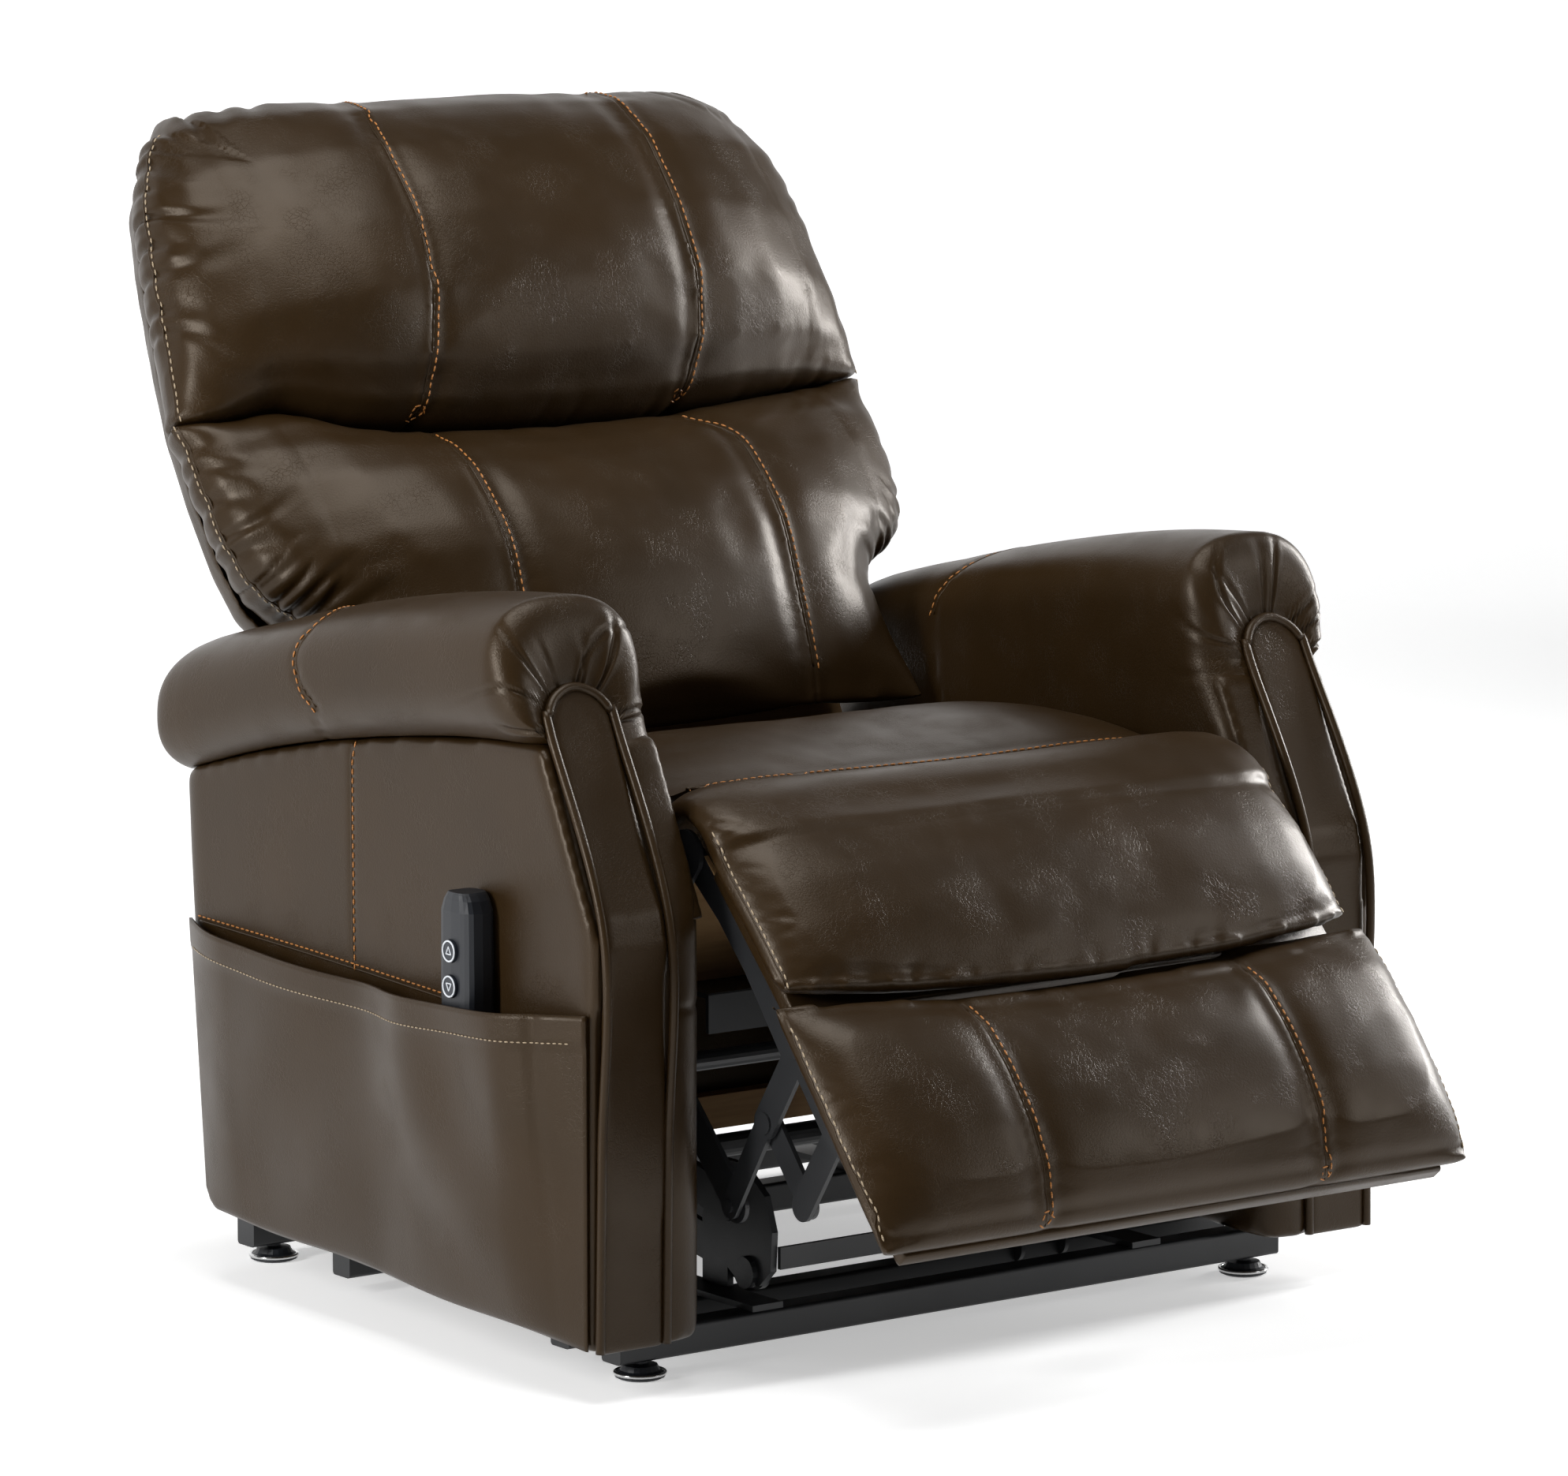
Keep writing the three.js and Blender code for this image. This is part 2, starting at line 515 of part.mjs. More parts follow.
// Plate beside the seat: it carries the footrest and back pivots and bolts to the arm.
function sidePlate() {
  const outline = new THREE.Shape();
  const [footY, footZ] = FOOT_PIVOT;
  outline.absarc(footY, footZ, 20, radians(-35), radians(205), false);
  outline.lineTo(92, 330);
  outline.absarc(drivePivot[0], drivePivot[1], 20, Math.PI, Math.PI * 1.5, false);
  outline.lineTo(560, 252);
  outline.lineTo(BACK_PIVOT[0] + BACK_LOBE - 2, 300);
  outline.absarc(BACK_PIVOT[0], BACK_PIVOT[1], BACK_LOBE, 0, Math.PI * 0.75, false);
  outline.lineTo(510, 345);
  outline.lineTo(130, 345);
  [[210, 298], [300, 298], [440, 298]].forEach((point) => {
    const slot = new THREE.Path();
    slot.absarc(point[0] + 18, point[1], 11, Math.PI / 2, -Math.PI / 2, true);
    slot.absarc(point[0] - 18, point[1], 11, -Math.PI / 2, -Math.PI * 1.5, true);
    outline.holes.push(slot);
  });
  const plate = alongX(outline, SIDE_PLATE_X, SIDE_PLATE_X + SIDE_PLATE_THICK, 8);
  const bosses = [[190, 265], [480, 265]].map(([y, z]) =>
    box([SIDE_PLATE_X + 3, ARM_INNER_X - GAP], [y - 20, y + 20], [z - 8, z + 14]));
  const pins = [
    rod(BRACKET_LAYER_X - 1, SIDE_PLATE_X + 1, FOOT_PIVOT, LINK_PIN_RADIUS),
    rod(BRACKET_LAYER_X - 3 * LAYER - 1, SIDE_PLATE_X + 1, drivePivot, LINK_PIN_RADIUS),
    rod(BACK_LEG_X - 8, SIDE_PLATE_X + 1, BACK_PIVOT, PIN_RADIUS),
  ];
  return join(plate, ...bosses, ...pins);
}

// ---------------------------------------------------------------- footrest boards and links

const upperAngle = Math.atan2(KNUCKLE[1] - FOOT_PIVOT[1], KNUCKLE[0] - FOOT_PIVOT[0]);
const lowerAngle = -Math.PI + radians(FOOT_ANGLE);
const upperLength = distance(FOOT_PIVOT, KNUCKLE);

// Point at s along a footrest board and n above its pivots' line.
function onBoard(origin, angle, s, n) {
  return [origin[0] + s * Math.cos(angle) + n * Math.sin(angle), origin[1] + s * Math.sin(angle) - n * Math.cos(angle)];
}
const onUpper = (s, n) => onBoard(FOOT_PIVOT, upperAngle, s, n);
const onLower = (s, n) => onBoard(KNUCKLE, lowerAngle, s, n);

const layerX = (layer) => BRACKET_LAYER_X - layer * LAYER;
const togglePin = () => onLower(TOGGLE_LENGTH, 0);
const toggleFoot = () => {
  const t = togglePin();
  return [t[0] + BOOMERANG_BEND[0] - KNUCKLE[0], t[1] + BOOMERANG_BEND[1] - KNUCKLE[1]];
};

function addFootrestBoards() {
  const halfWidth = layerX(0) + LINK_THICK - 0.5;
  const upperBoard = alongX(polygon([onUpper(34, BOARD_OFFSET), onUpper(34, BOARD_OFFSET + BOARD_THICK),
    onUpper(upperLength - 14, BOARD_OFFSET + BOARD_THICK), onUpper(upperLength - 14, BOARD_OFFSET)]),
  -halfWidth, halfWidth);
  const upperEar = polygon([onUpper(0, -13), onUpper(-12, 0), onUpper(0, 13), onUpper(40, BOARD_OFFSET + 2),
    onUpper(upperLength - 20, BOARD_OFFSET + 2), onUpper(upperLength + 2, 13), onUpper(upperLength + 13, 0),
    onUpper(upperLength, -13), onUpper(110, -6), onUpper(60, -6)]);
  roundHole(upperEar, FOOT_PIVOT, LINK_PIN_RADIUS + PIN_PLAY);
  const upperEars = [1, -1].map((side) => onSide(join(
    alongX(upperEar, layerX(0), layerX(0) + LINK_THICK),
    rod(layerX(2) - 1, layerX(0) + 1, KNUCKLE, LINK_PIN_RADIUS)), side));
  add('chaise_board', join(upperBoard, ...upperEars), wood);

  const boardEnd = 190;
  const lowerBoard = alongX(polygon([onLower(16, BOARD_OFFSET), onLower(16, BOARD_OFFSET + BOARD_THICK),
    onLower(boardEnd, BOARD_OFFSET + BOARD_THICK), onLower(boardEnd, BOARD_OFFSET)]),
  -layerX(1) - LINK_THICK, layerX(1) + LINK_THICK);
  const lowerEar = polygon([onLower(0, -13), onLower(-13, 0), onLower(0, 13), onLower(18, BOARD_OFFSET + 2),
    onLower(150, BOARD_OFFSET + 2), onLower(TOGGLE_LENGTH + 14, -10), onLower(TOGGLE_LENGTH, -13)]);
  roundHole(lowerEar, KNUCKLE, LINK_PIN_RADIUS + PIN_PLAY);
  const lowerEars = [1, -1].map((side) => onSide(join(
    alongX(lowerEar, layerX(1), layerX(1) + LINK_THICK),
    rod(layerX(2) - 1, layerX(1) + 1, togglePin(), LINK_PIN_RADIUS)), side));
  add('ottoman_board', join(lowerBoard, ...lowerEars), wood);
}

function addFootrestLinks() {
  const hole = LINK_PIN_RADIUS + PIN_PLAY;
  const drive = barShape(drivePivot, BOOMERANG_FOOT, LINK_WIDTH,
    [[drivePivot, hole], [BOOMERANG_FOOT, hole]]);
  const [kneeY, kneeZ] = BOOMERANG_BEND;
  const upperArm = alongX(barShape(KNUCKLE, BOOMERANG_BEND, LINK_WIDTH - 2, [[KNUCKLE, hole], [[kneeY, kneeZ], 0.01]]
    .slice(0, 1)), layerX(2), layerX(2) + LINK_THICK);
  const lowerArm = alongX(barShape(BOOMERANG_BEND, BOOMERANG_FOOT, LINK_WIDTH - 8, []), layerX(2), layerX(2) + LINK_THICK);
  const boomerang = join(upperArm, lowerArm,
    rod(layerX(3) - 2, layerX(2) + 1, BOOMERANG_BEND, LINK_PIN_RADIUS),
    rod(layerX(3) - 2, layerX(2) + 6, BOOMERANG_FOOT, LINK_PIN_RADIUS + 0),
    rod(layerX(2) + LINK_THICK - 1, layerX(2) + LINK_THICK + 2, BOOMERANG_BEND, 9),
  );
  const foot = toggleFoot();
  const vLink = barShape(BOOMERANG_BEND, foot, LINK_WIDTH - 6, [[BOOMERANG_BEND, hole], [foot, hole]]);
  const toggle = barShape(foot, togglePin(), LINK_WIDTH - 4, [[togglePin(), hole]]);
  SIDES.forEach(([word, side]) => {
    add(`drive_link_${word}`, onSide(alongX(drive, layerX(3), layerX(3) + LINK_THICK), side), blackSteel);
    add(`boomerang_link_${word}`, onSide(boomerang, side), blackSteel);
    add(`v_link_${word}`, onSide(alongX(vLink, layerX(3), layerX(3) + LINK_THICK), side), blackSteel);
    const toggleSolid = join(alongX(toggle, layerX(2), layerX(2) + LINK_THICK),
      rod(layerX(3) - 2, layerX(2) + 1, foot, LINK_PIN_RADIUS));
    add(`toggle_link_${word}`, onSide(toggleSolid, side), blackSteel);
  });
  const tubePoint = between(drivePivot, BOOMERANG_FOOT, TORQUE_TUBE_OFFSET / distance(drivePivot, BOOMERANG_FOOT));
  const reach = layerX(3) - GAP;
  add('footrest_torque_tube', rod(-reach, reach, tubePoint, TORQUE_TUBE_RADIUS, 16), blackSteel);
}

// ---------------------------------------------------------------- footrest pads

function wrapRadius(x) {
  return WRAP_RADIUS + WRAP_FLARE * Math.pow(x / SEAT_SEAM_HALF_WIDTH, 2);
}

// Where the crease between the two pads lies, from the knuckle, at a share u of the half-width and a height n.
// Its two faces lean apart, so that the pads clear each other when the footrest is fully open.
function creaseAt(u, n, side) {
  return -1 - CREASE_BOW * u * u + side * n * Math.tan(radians(CREASE_LEAN));
}

function addChaisePad() {
  const boardTop = BOARD_OFFSET + BOARD_THICK + GAP;
  const wrapInner = 25.4;
  const xs = columnsAcross(CHAISE_HALF_WIDTH);
  const wrapAngles = [0, 1, 2, 3, 4, 5, 6, 7].map((i) => radians(lerp(WRAP_START, 0, i / 7)));
  const wrapRows = wrapAngles.map((angle) => xs.map((x) => {
    const r = lerp(wrapInner + 8, wrapRadius(x), crown(x / CHAISE_HALF_WIDTH, 9, 2));
    return [x, ...onUpper(r * Math.sin(angle), r * Math.cos(angle))];
  }));
  const stations = [[30, 61, 0], [70, 68, 0], [110, 67, 0], [145, 61, 0.5], [-10, 55, 1], [-1, 47, 1], [0, 38, 1]];
  const topRows = stations.map(([s, n, atCrease]) => xs.map((x) => {
    const u = x / CHAISE_HALF_WIDTH;
    const height = lerp(Math.min(n, boardTop + 10), n + 3 * (1 - u * u), crown(u, 5, 2));
    const crease = upperLength + creaseAt(u, height, -1);
    const bowed = s > 0 ? s + atCrease * CREASE_BOW * (0.6 - u * u) * 0.5 : s;
    return [x, ...onUpper(atCrease === 1 ? crease + s : bowed, height)];
  }));
  const inner = [...wrapAngles.map((a) => onUpper(wrapInner * Math.sin(a), wrapInner * Math.cos(a))),
    ...[30, 70, 110, 140, 148, 151, 154].map((s) => onUpper(s, boardTop))];
  const innerAt = (side) => inner.map((p) => [side * (CHAISE_HALF_WIDTH - 5), ...p]);
  add('chaise_pad', pad([...wrapRows, ...topRows], innerAt(-1), innerAt(1)), leather);
}

function addOttomanPad() {
  const boardTop = BOARD_OFFSET + BOARD_THICK + GAP;
  const halfWidth = CHAISE_HALF_WIDTH + OTTOMAN_WIDER;
  const xs = columnsAcross(halfWidth);
  const stations = [[0, 36, 1], [1, 47, 1], [9, 55, 1], [30, 64, 0.4], [70, 68, 0], [115, 66, 0], [155, 58, 0],
    [184, 48, 0], [199, 36, 0], [203, 25, 0]];
  const rows = stations.map(([s, n, atCrease]) => xs.map((x) => {
    const u = x / halfWidth;
    const height = Math.max(boardTop + 0.7, lerp(Math.min(n, boardTop + 8), n - groove(x, SEWN_LINE_X), crown(u, 5, 2)));
    const crease = creaseAt(u, height, 1) + s;
    return [x, ...onLower(atCrease === 1 ? crease : s - atCrease * CREASE_BOW * u * u, height)];
  }));
  const inner = rising([-4, -2, 4, 30, 70, 115, 155, 170, 175, 180], -4);
  const innerAt = (side) => inner.map((s) => [side * (halfWidth - 4), ...onLower(s, boardTop)]);
  add('ottoman_pad', pad(rows, innerAt(-1), innerAt(1)), leather);
}

// ---------------------------------------------------------------- seat and back cushions

function addSeatCushion() {
  const bottom = SEAT_FRAME_Z[1] + GAP;
  const xs = columnsAcross(SEAT_HALF_WIDTH);
  const stations = [[70, 430, 0], [73, 452, 0.3], [80, 459, 1], [110, 466, 1], [160, 472, 1], [230, 475, 1],
    [310, 470, 1], [370, 460, 1], [402, 447, 0.6], [SEAT_REAR_Y, 430, 0], [424, 416, 0], [540, 414, 0]];
  const rows = stations.map(([y, z, crowned]) => xs.map((x) => {
    const u = x / SEAT_HALF_WIDTH;
    const front = Math.min(1, Math.max(0, (110 - y) / 40));
    const sideDrop = crowned * (1 - crown(u, 4, 2)) * 26 * (1 - front);
    return [x, y - 8 * u * u * front, z + 10 * u * u * front - sideDrop];
  }));
  const inner = rising(stations.map(([y]) => y), 86, 3);
  const innerStart = inner.map((y) => [4 - SEAT_HALF_WIDTH, y, bottom]);
  const innerEnd = inner.map((y) => [SEAT_HALF_WIDTH - 4, y, bottom]);
  add('seat_cushion', cut(pad(rows, innerStart, innerEnd), wrapBarrel(1.6)), leather);
}

// The barrel that the chaise pad's rounded end turns in, used to hollow the seat's front edge.
function wrapBarrel(clearance) {
  const reach = SEAT_HALF_WIDTH + 10;
  const count = 12;
  const outline = [new THREE.Vector2(0, -reach)];
  for (let i = 0; i <= count; i += 1) {
    const x = lerp(-reach, reach, i / count);
    outline.push(new THREE.Vector2(wrapRadius(x) + clearance, x));
  }
  outline.push(new THREE.Vector2(0, reach));
  const barrel = new THREE.LatheGeometry(outline, 40);
  barrel.rotateZ(-Math.PI / 2);
  barrel.translate(0, FOOT_PIVOT[0], FOOT_PIVOT[1]);
  return barrel;
}

const backSin = Math.sin(radians(BACK_ANGLE));
const backCos = Math.cos(radians(BACK_ANGLE));
// Point at t up the back and m in front of its middle plane.
const onBack = (t, m) => [BACK_PIVOT[0] + t * backSin - m * backCos, BACK_PIVOT[1] + t * backCos + m * backSin];

// The back's outline: distances up the back, and how much narrower than its widest it is there.
const BACK_OUTLINE = [[134, 39], [160, 15], [200, 4], [260, 0], [320, 2], [400, 9], [470, 17], [530, 29], [565, 44],
  [590, 64], [604, 88]].map(([t, narrower]) => [t, BACK_HALF_WIDTH - narrower]);

function backHalfWidth(t) {
  if (t <= BACK_OUTLINE[0][0]) return BACK_OUTLINE[0][1];
  for (let i = 1; i < BACK_OUTLINE.length; i += 1) {
    const [t0, w0] = BACK_OUTLINE[i - 1];
    const [t1, w1] = BACK_OUTLINE[i];
    if (t <= t1) return lerp(w0, w1, (t - t0) / (t1 - t0));
  }
  return BACK_OUTLINE[BACK_OUTLINE.length - 1][1];
}

// One back pillow from its profile up the middle: stations of t, m, the half-width and the rim's height there.
// The crease lifts its edge at the sides, and the flat back starts no lower than backStart.
function backPillow(stations, crease, backStart) {
  const lift = (t, x) => CREASE_LIFT * Math.pow(x / BACK_HALF_WIDTH, 2) * Math.max(0, 1 - Math.abs(t - crease) / 110);
  const backT = rising(stations.map(([t]) => t), backStart);
  const rows = stations.map(([t, m, halfWidth, rim]) => columnsAcross(halfWidth).map((x) => {
    const height = lerp(Math.min(m, rim), m - groove(x, SEWN_LINE_X), crown(x / halfWidth, 3, 1.8));
    return [x, ...onBack(t + lift(t, x), height)];
  }));
  const innerAt = (side) => stations.map(([, , halfWidth], i) => {
    const x = side * (halfWidth - SIDE_DRAW_IN);
    return [x, ...onBack(backT[i] + lift(backT[i], x), BACK_BASE)];
  });
  return pad(rows, innerAt(-1), innerAt(1));
}

function addBack() {
  const head = [[284, 60], [283, 90], [292, 123], [322, 152], [380, 174], [450, 174], [525, 156], [578, 124],
    [602, 90], [606, 60], [600, 34]].map(([t, m]) => [t, m, backHalfWidth(t), RIM_HEIGHT]);
  add('head_pillow', backPillow(head, 284, 284), leather);
  const inArms = SEAT_HALF_WIDTH - 3;
  const rim = RIM_HEIGHT;
  const lower = [[44, 32, inArms, 32], [14, 90, inArms, 88], [-22, 146, inArms, 138], [-21, 155, inArms, 142],
    [14, 167, inArms, 130], [59, 177, inArms, 112], [104, 187, inArms + 2, 96]];
  const overArms = [[125, 190, 69, 84], [143, 190, 39, 72], [165, 186, 17, 62], [192, 177, 6, rim],
    [222, 165, 2, rim], [250, 143, 0, rim], [268, 116, 0, rim], [275, 88, 0, rim], [276, 60, 0, rim]]
    .map(([t, m, narrower, height]) => [t, m, BACK_HALF_WIDTH - narrower, height]);
  add('lumbar_pillow', backPillow([...lower, ...overArms], 276, 50), leather);

  const leg = BACK_LEG_X;
  const neck = leg - 22;
  const wide = BACK_HALF_WIDTH - COVER_DRAW_IN[1] - 30;
  const half = [[leg, -26], [leg, 24], [neck, 30], [neck, 132], [wide - 18, 172], [wide, 230], [wide - 12, 530],
    [wide - 58, 574]];
  const board = new THREE.Shape([...half, ...[...half].reverse().map(([x, t]) => [-x, t])]
    .map(([x, t]) => new THREE.Vector2(x, t)));
  const pivotHole = rod(leg - 10, leg + 4, BACK_PIVOT, PIN_RADIUS + PIN_PLAY);
  add('back_frame', cut(onBackPlane(board, BACK_FRAME_M[0], BACK_FRAME_M[1]), pivotHole, mirrored(pivotHole)), wood);
  const wall = BACK_COVER_THICK;
  const rear = BACK_FRAME_M[0] - GAP;
  const [atFront, atRear] = COVER_DRAW_IN;
  const bend = lerp(atFront, atRear, 0.4);
  const outside = loft([[BACK_BASE - GAP, atFront], [rear + 8, bend], [rear - wall, atRear]]
    .map(([m, inset]) => coverRing(m, inset, 0, BACK_COVER_BOTTOM)));
  const inside = loft([[BACK_BASE + 10, atFront], [BACK_BASE - GAP, atFront], [rear + 8, bend], [rear, atRear]]
    .map(([m, inset]) => coverRing(m, inset, wall, BACK_COVER_BOTTOM - 10)));
  add('back_cover', cut(outside, inside), leather);
}

// Outline of the leather cover round the back at m, drawn in from the pillows' outline and by the wall's thickness.
function coverRing(m, inset, wall, bottom) {
  const neck = BACK_LEG_X - 18 - wall;
  const half = BACK_OUTLINE.map(([t, w], i) => [w - inset - wall, t > 560 ? t - inset * 0.5 - wall + i * 0.01 : t]);
  const right = [[neck, bottom], [neck, 122], ...half];
  return [...right, ...[...right].reverse().map(([x, t]) => [-x, t])].map(([x, t]) => [x, ...onBack(t, m)]);
}

// Extrudes an outline drawn across and up the back between two distances from its middle plane.
function onBackPlane(shape, m0, m1) {
  const geometry = new THREE.ExtrudeGeometry(shape, { depth: m1 - m0, bevelEnabled: false });
  geometry.translate(0, 0, m0);
  geometry.applyMatrix4(new THREE.Matrix4().makeBasis(new THREE.Vector3(1, 0, 0),
    new THREE.Vector3(0, backSin, backCos), new THREE.Vector3(0, -backCos, backSin)));
  geometry.translate(0, BACK_PIVOT[0], BACK_PIVOT[1]);
  return geometry;
}

// ---------------------------------------------------------------- arms

const armFraction = (y) => y / ARM_REAR_Y;
const armBottom = (y) => lerp(ARM_BOTTOM_Z[0], ARM_BOTTOM_Z[1], armFraction(y));
const rollSeam = (y) => lerp(ROLL_SEAM_Z[0], ROLL_SEAM_Z[1], Math.pow(armFraction(y), 2));
const armFrontAt = (z) => Math.max(0, (z - KNEE_Z) * ARCH_Y / (ARCH_TOP_Z - KNEE_Z));

// How far the arm's rear end comes forward at y and z.
function rearLean(y, z) {
  const nearRear = Math.max(0, (y - LEAN_FROM_Y) / (ARM_REAR_Y - LEAN_FROM_Y));
  const down = (rollSeam(y) - z) / (rollSeam(y) - armBottom(y));
  return ARM_REAR_LEAN * nearRear * nearRear * down;
}

// How far a rounded vertical edge of the arm draws in at a distance from the end face.
function cornerInset(fromEnd, radius) {
  const d = Math.max(0, radius - fromEnd);
  return radius - Math.sqrt(radius * radius - d * d);
}

function addArmBody(word, side) {
  const toRear = (y) => ARM_REAR_Y - y;
  const meetsRoll = ARCH_Y * (ROLL_SEAM_Z[0] - KNEE_Z) / (ARCH_TOP_Z - KNEE_Z);
  const stations = [0, 1.5, 5, 12, 26, 48, meetsRoll, 100, ...ARM_STATIONS, 578, 590, 596, ARM_REAR_Y];
  const rings = stations.map((y) => {
    const x0 = ARM_INNER_X + Math.max(cornerInset(y, 26), cornerInset(toRear(y), 8));
    const x1 = ARM_OUTER_X - Math.max(cornerInset(y, 8), cornerInset(toRear(y), 20));
    const z0 = armBottom(y);
    const z1 = y < meetsRoll ? lerp(KNEE_Z, ROLL_SEAM_Z[0], y / meetsRoll) : rollSeam(y);
    const r = 5;
    return [[x0 + r, y, z0], [x1 - r, y, z0], [x1, y, z0 + r], [x1, y, z1], [x0, y, z1], [x0, y, z0 + r]]
      .map(([px, py, pz]) => [px, py - rearLean(y, pz), pz]);
  });
  const recess = panelSolid(6, 2.2);
  add(`arm_body_${word}`, onSide(cut(loft(rings), recess), side), leather);
}

// The inset panel on the arm's front, up to its arch; grow widens it for the recess that holds it.
function panelSolid(depth, grow) {
  const centre = (PANEL_X[0] + PANEL_X[1]) / 2;
  const half = (PANEL_X[1] - PANEL_X[0]) / 2 - 2 + grow;
  const archZ = ARCH_TOP_Z - half;
  const stations = [[armBottom(0) - grow, half], [KNEE_Z - 12, half], [KNEE_Z + 12, half], [archZ, half]];
  for (let i = 1; i <= 5; i += 1) {
    const a = radians(i * 17);
    stations.push([archZ + half * Math.sin(a), half * Math.cos(a)]);
  }
  const rings = stations.map(([z, w]) => {
    const y = armFrontAt(z);
    const x = centre - 8 * Math.max(0, z - 40) / 510;
    const back = y + depth;
    const front = y - (grow > 0 ? 30 : 1);
    return [[x - w, back, z], [x - w, front, z], [x + w, front, z], [x + w, back, z]];
  });
  return loft(rings);
}

function addArmFrontPanel(word, side) {
  const panel = panelSolid(5, -0.6);
  add(`arm_front_panel_${word}`, onSide(panel, side), leather);
}

function addArmRoll(word, side) {
  const count = 28;
  const stations = [[97, 0.52, 0.62], [87, 0.66, 0.74], [81, 0.8, 0.86], [79, 0.9, 0.94], [86, 0.97, 0.985], [104, 1, 1],
    ...ARM_STATIONS.map((y) => [y, 1, 1]), [590, 0.96, 0.93], [602, 0.86, 0.8]];
  const rings = stations.map(([y, sx, sz], k) => {
    const seat = rollSeam(Math.min(y, ARM_REAR_Y)) + GAP + 0.1;
    const height = lerp(ROLL_HEIGHT[0], ROLL_HEIGHT[1], Math.pow(armFraction(y), 3));
    const centreZ = seat + height * 0.46;
    const pleat = k < 5 ? 0.02 : 0;
    const ring = [];
    for (let i = 0; i < count; i += 1) {
      const a = (i / count) * Math.PI * 2;
      const fold = 1 + pleat * Math.cos(a * 14);
      const c = Math.cos(a);
      const s = Math.sin(a);
      const x = ROLL_CENTRE_X + Math.sign(c) * Math.pow(Math.abs(c), 0.8) * ROLL_RADIUS_X * sx * fold;
      const z = centreZ + Math.sign(s) * Math.pow(Math.abs(s), 0.8) * height * 0.54 * sz * fold;
      ring.push([x, y, Math.max(z, seat)]);
    }
    return ring;
  });
  add(`arm_roll_${word}`, onSide(loft(rings.reverse()), side), leather);
}

// ---------------------------------------------------------------- pocket, handset, rear skirt

function addSidePocket() {
  const columns = 18;
  const rowCount = 7;
  const surface = (thick) => {
    const grid = [];
    for (let r = 0; r <= rowCount; r += 1) {
      const row = [];
      for (let c = 0; c <= columns; c += 1) {
        const v = c / columns;
        const y = lerp(POCKET_Y[0], POCKET_Y[1], v);
        const top = lerp(POCKET_TOP_Z[0], POCKET_TOP_Z[1], v) - 12 * Math.sin(Math.PI * v);
        const z = lerp(armBottom(y) + 4, top, r / rowCount);
        const ends = Math.sin(Math.PI / 2 * Math.min(1, Math.min(v, 1 - v) / 0.15));
        const rise = Math.pow(r / rowCount, 0.35);
        const near = Math.exp(-Math.pow((y - HANDSET_CENTRE[1]) / 110, 4));
        const bulge = ends * rise * lerp(20, POCKET_BULGE, near);
        row.push([-(ARM_OUTER_X + GAP + 0.2 + bulge + thick), y - rearLean(y, z), z]);
      }
      grid.push(row);
    }
    return grid;
  };
  add('side_pocket', sheet(surface(POCKET_THICK), surface(0)), leather);
}

// A closed sheet between two grids of the same size.
function sheet(outer, inner) {
  const rows = outer.length;
  const columns = outer[0].length;
  const points = [...outer.flat(), ...inner.flat()];
  const o = (r, c) => r * columns + c;
  const n = (r, c) => rows * columns + r * columns + c;
  const index = [];
  const quad = (a, b, c, d) => index.push(a, b, c, a, c, d);
  for (let r = 0; r + 1 < rows; r += 1) {
    for (let c = 0; c + 1 < columns; c += 1) {
      quad(o(r, c), o(r + 1, c), o(r + 1, c + 1), o(r, c + 1));
      quad(n(r, c), n(r, c + 1), n(r + 1, c + 1), n(r + 1, c));
    }
    quad(o(r, 0), n(r, 0), n(r + 1, 0), o(r + 1, 0));
    quad(o(r, columns - 1), o(r + 1, columns - 1), n(r + 1, columns - 1), n(r, columns - 1));
  }
  for (let c = 0; c + 1 < columns; c += 1) {
    quad(o(0, c), o(0, c + 1), n(0, c + 1), n(0, c));
    quad(o(rows - 1, c), n(rows - 1, c), n(rows - 1, c + 1), o(rows - 1, c + 1));
  }
  return closedSurface(points, index);
}

function addHandset() {
  const [thick, width, height] = HANDSET_SIZE;
  const [cx, cy, cz] = HANDSET_CENTRE;
  const levels = [-1, -0.97, -0.86, 0, 0.8, 0.92, 0.98, 1];
  const rings = levels.map((f) => {
    const shrink = Math.sqrt(Math.max(0, 1 - Math.pow(Math.max(0, Math.abs(f) - 0.72) / 0.34, 2)));
    const ring = [];
    for (let i = 0; i < 20; i += 1) {
      const a = (i / 20) * Math.PI * 2;
      const x = Math.sign(Math.cos(a)) * Math.pow(Math.abs(Math.cos(a)), 0.55) * (thick / 2) * lerp(0.6, 1, shrink);
      const y = Math.sign(Math.sin(a)) * Math.pow(Math.abs(Math.sin(a)), 0.55) * (width / 2) * shrink;
      ring.push([cx + x, cy + y, cz + f * height / 2]);
    }
    return ring;
  });
  const face = cx - thick / 2;
  const wells = BUTTON_Z.map((z) => rod(face - 5, face + 4, [cy, z], BUTTON_RADIUS + 0.4, 20));
  add('handset', cut(loft(rings), ...wells), blackPlastic);
  ['button_up', 'button_down'].forEach((name, i) => {
    add(name, rod(face - BUTTON_RISE, face + 2.4, [cy, BUTTON_Z[i]], BUTTON_RADIUS, 20), buttonPlastic);
  });
}

// Section of the rear skirt: upright behind the back's pivots, and forward to the arms' rear edges below them.
function skirtSection() {
  const front = BACK_PIVOT[0] + BACK_LOBE + GAP;
  const rear = ARM_REAR_Y - 1;
  const bottom = ARM_BOTTOM_Z[1] + 11;
  const knee = 296;
  return [[front, 392], [rear, 392], [rear, knee], [front - ARM_REAR_LEAN + 3, bottom], [rear - ARM_REAR_LEAN + 3, bottom],
    [front, knee]];
}

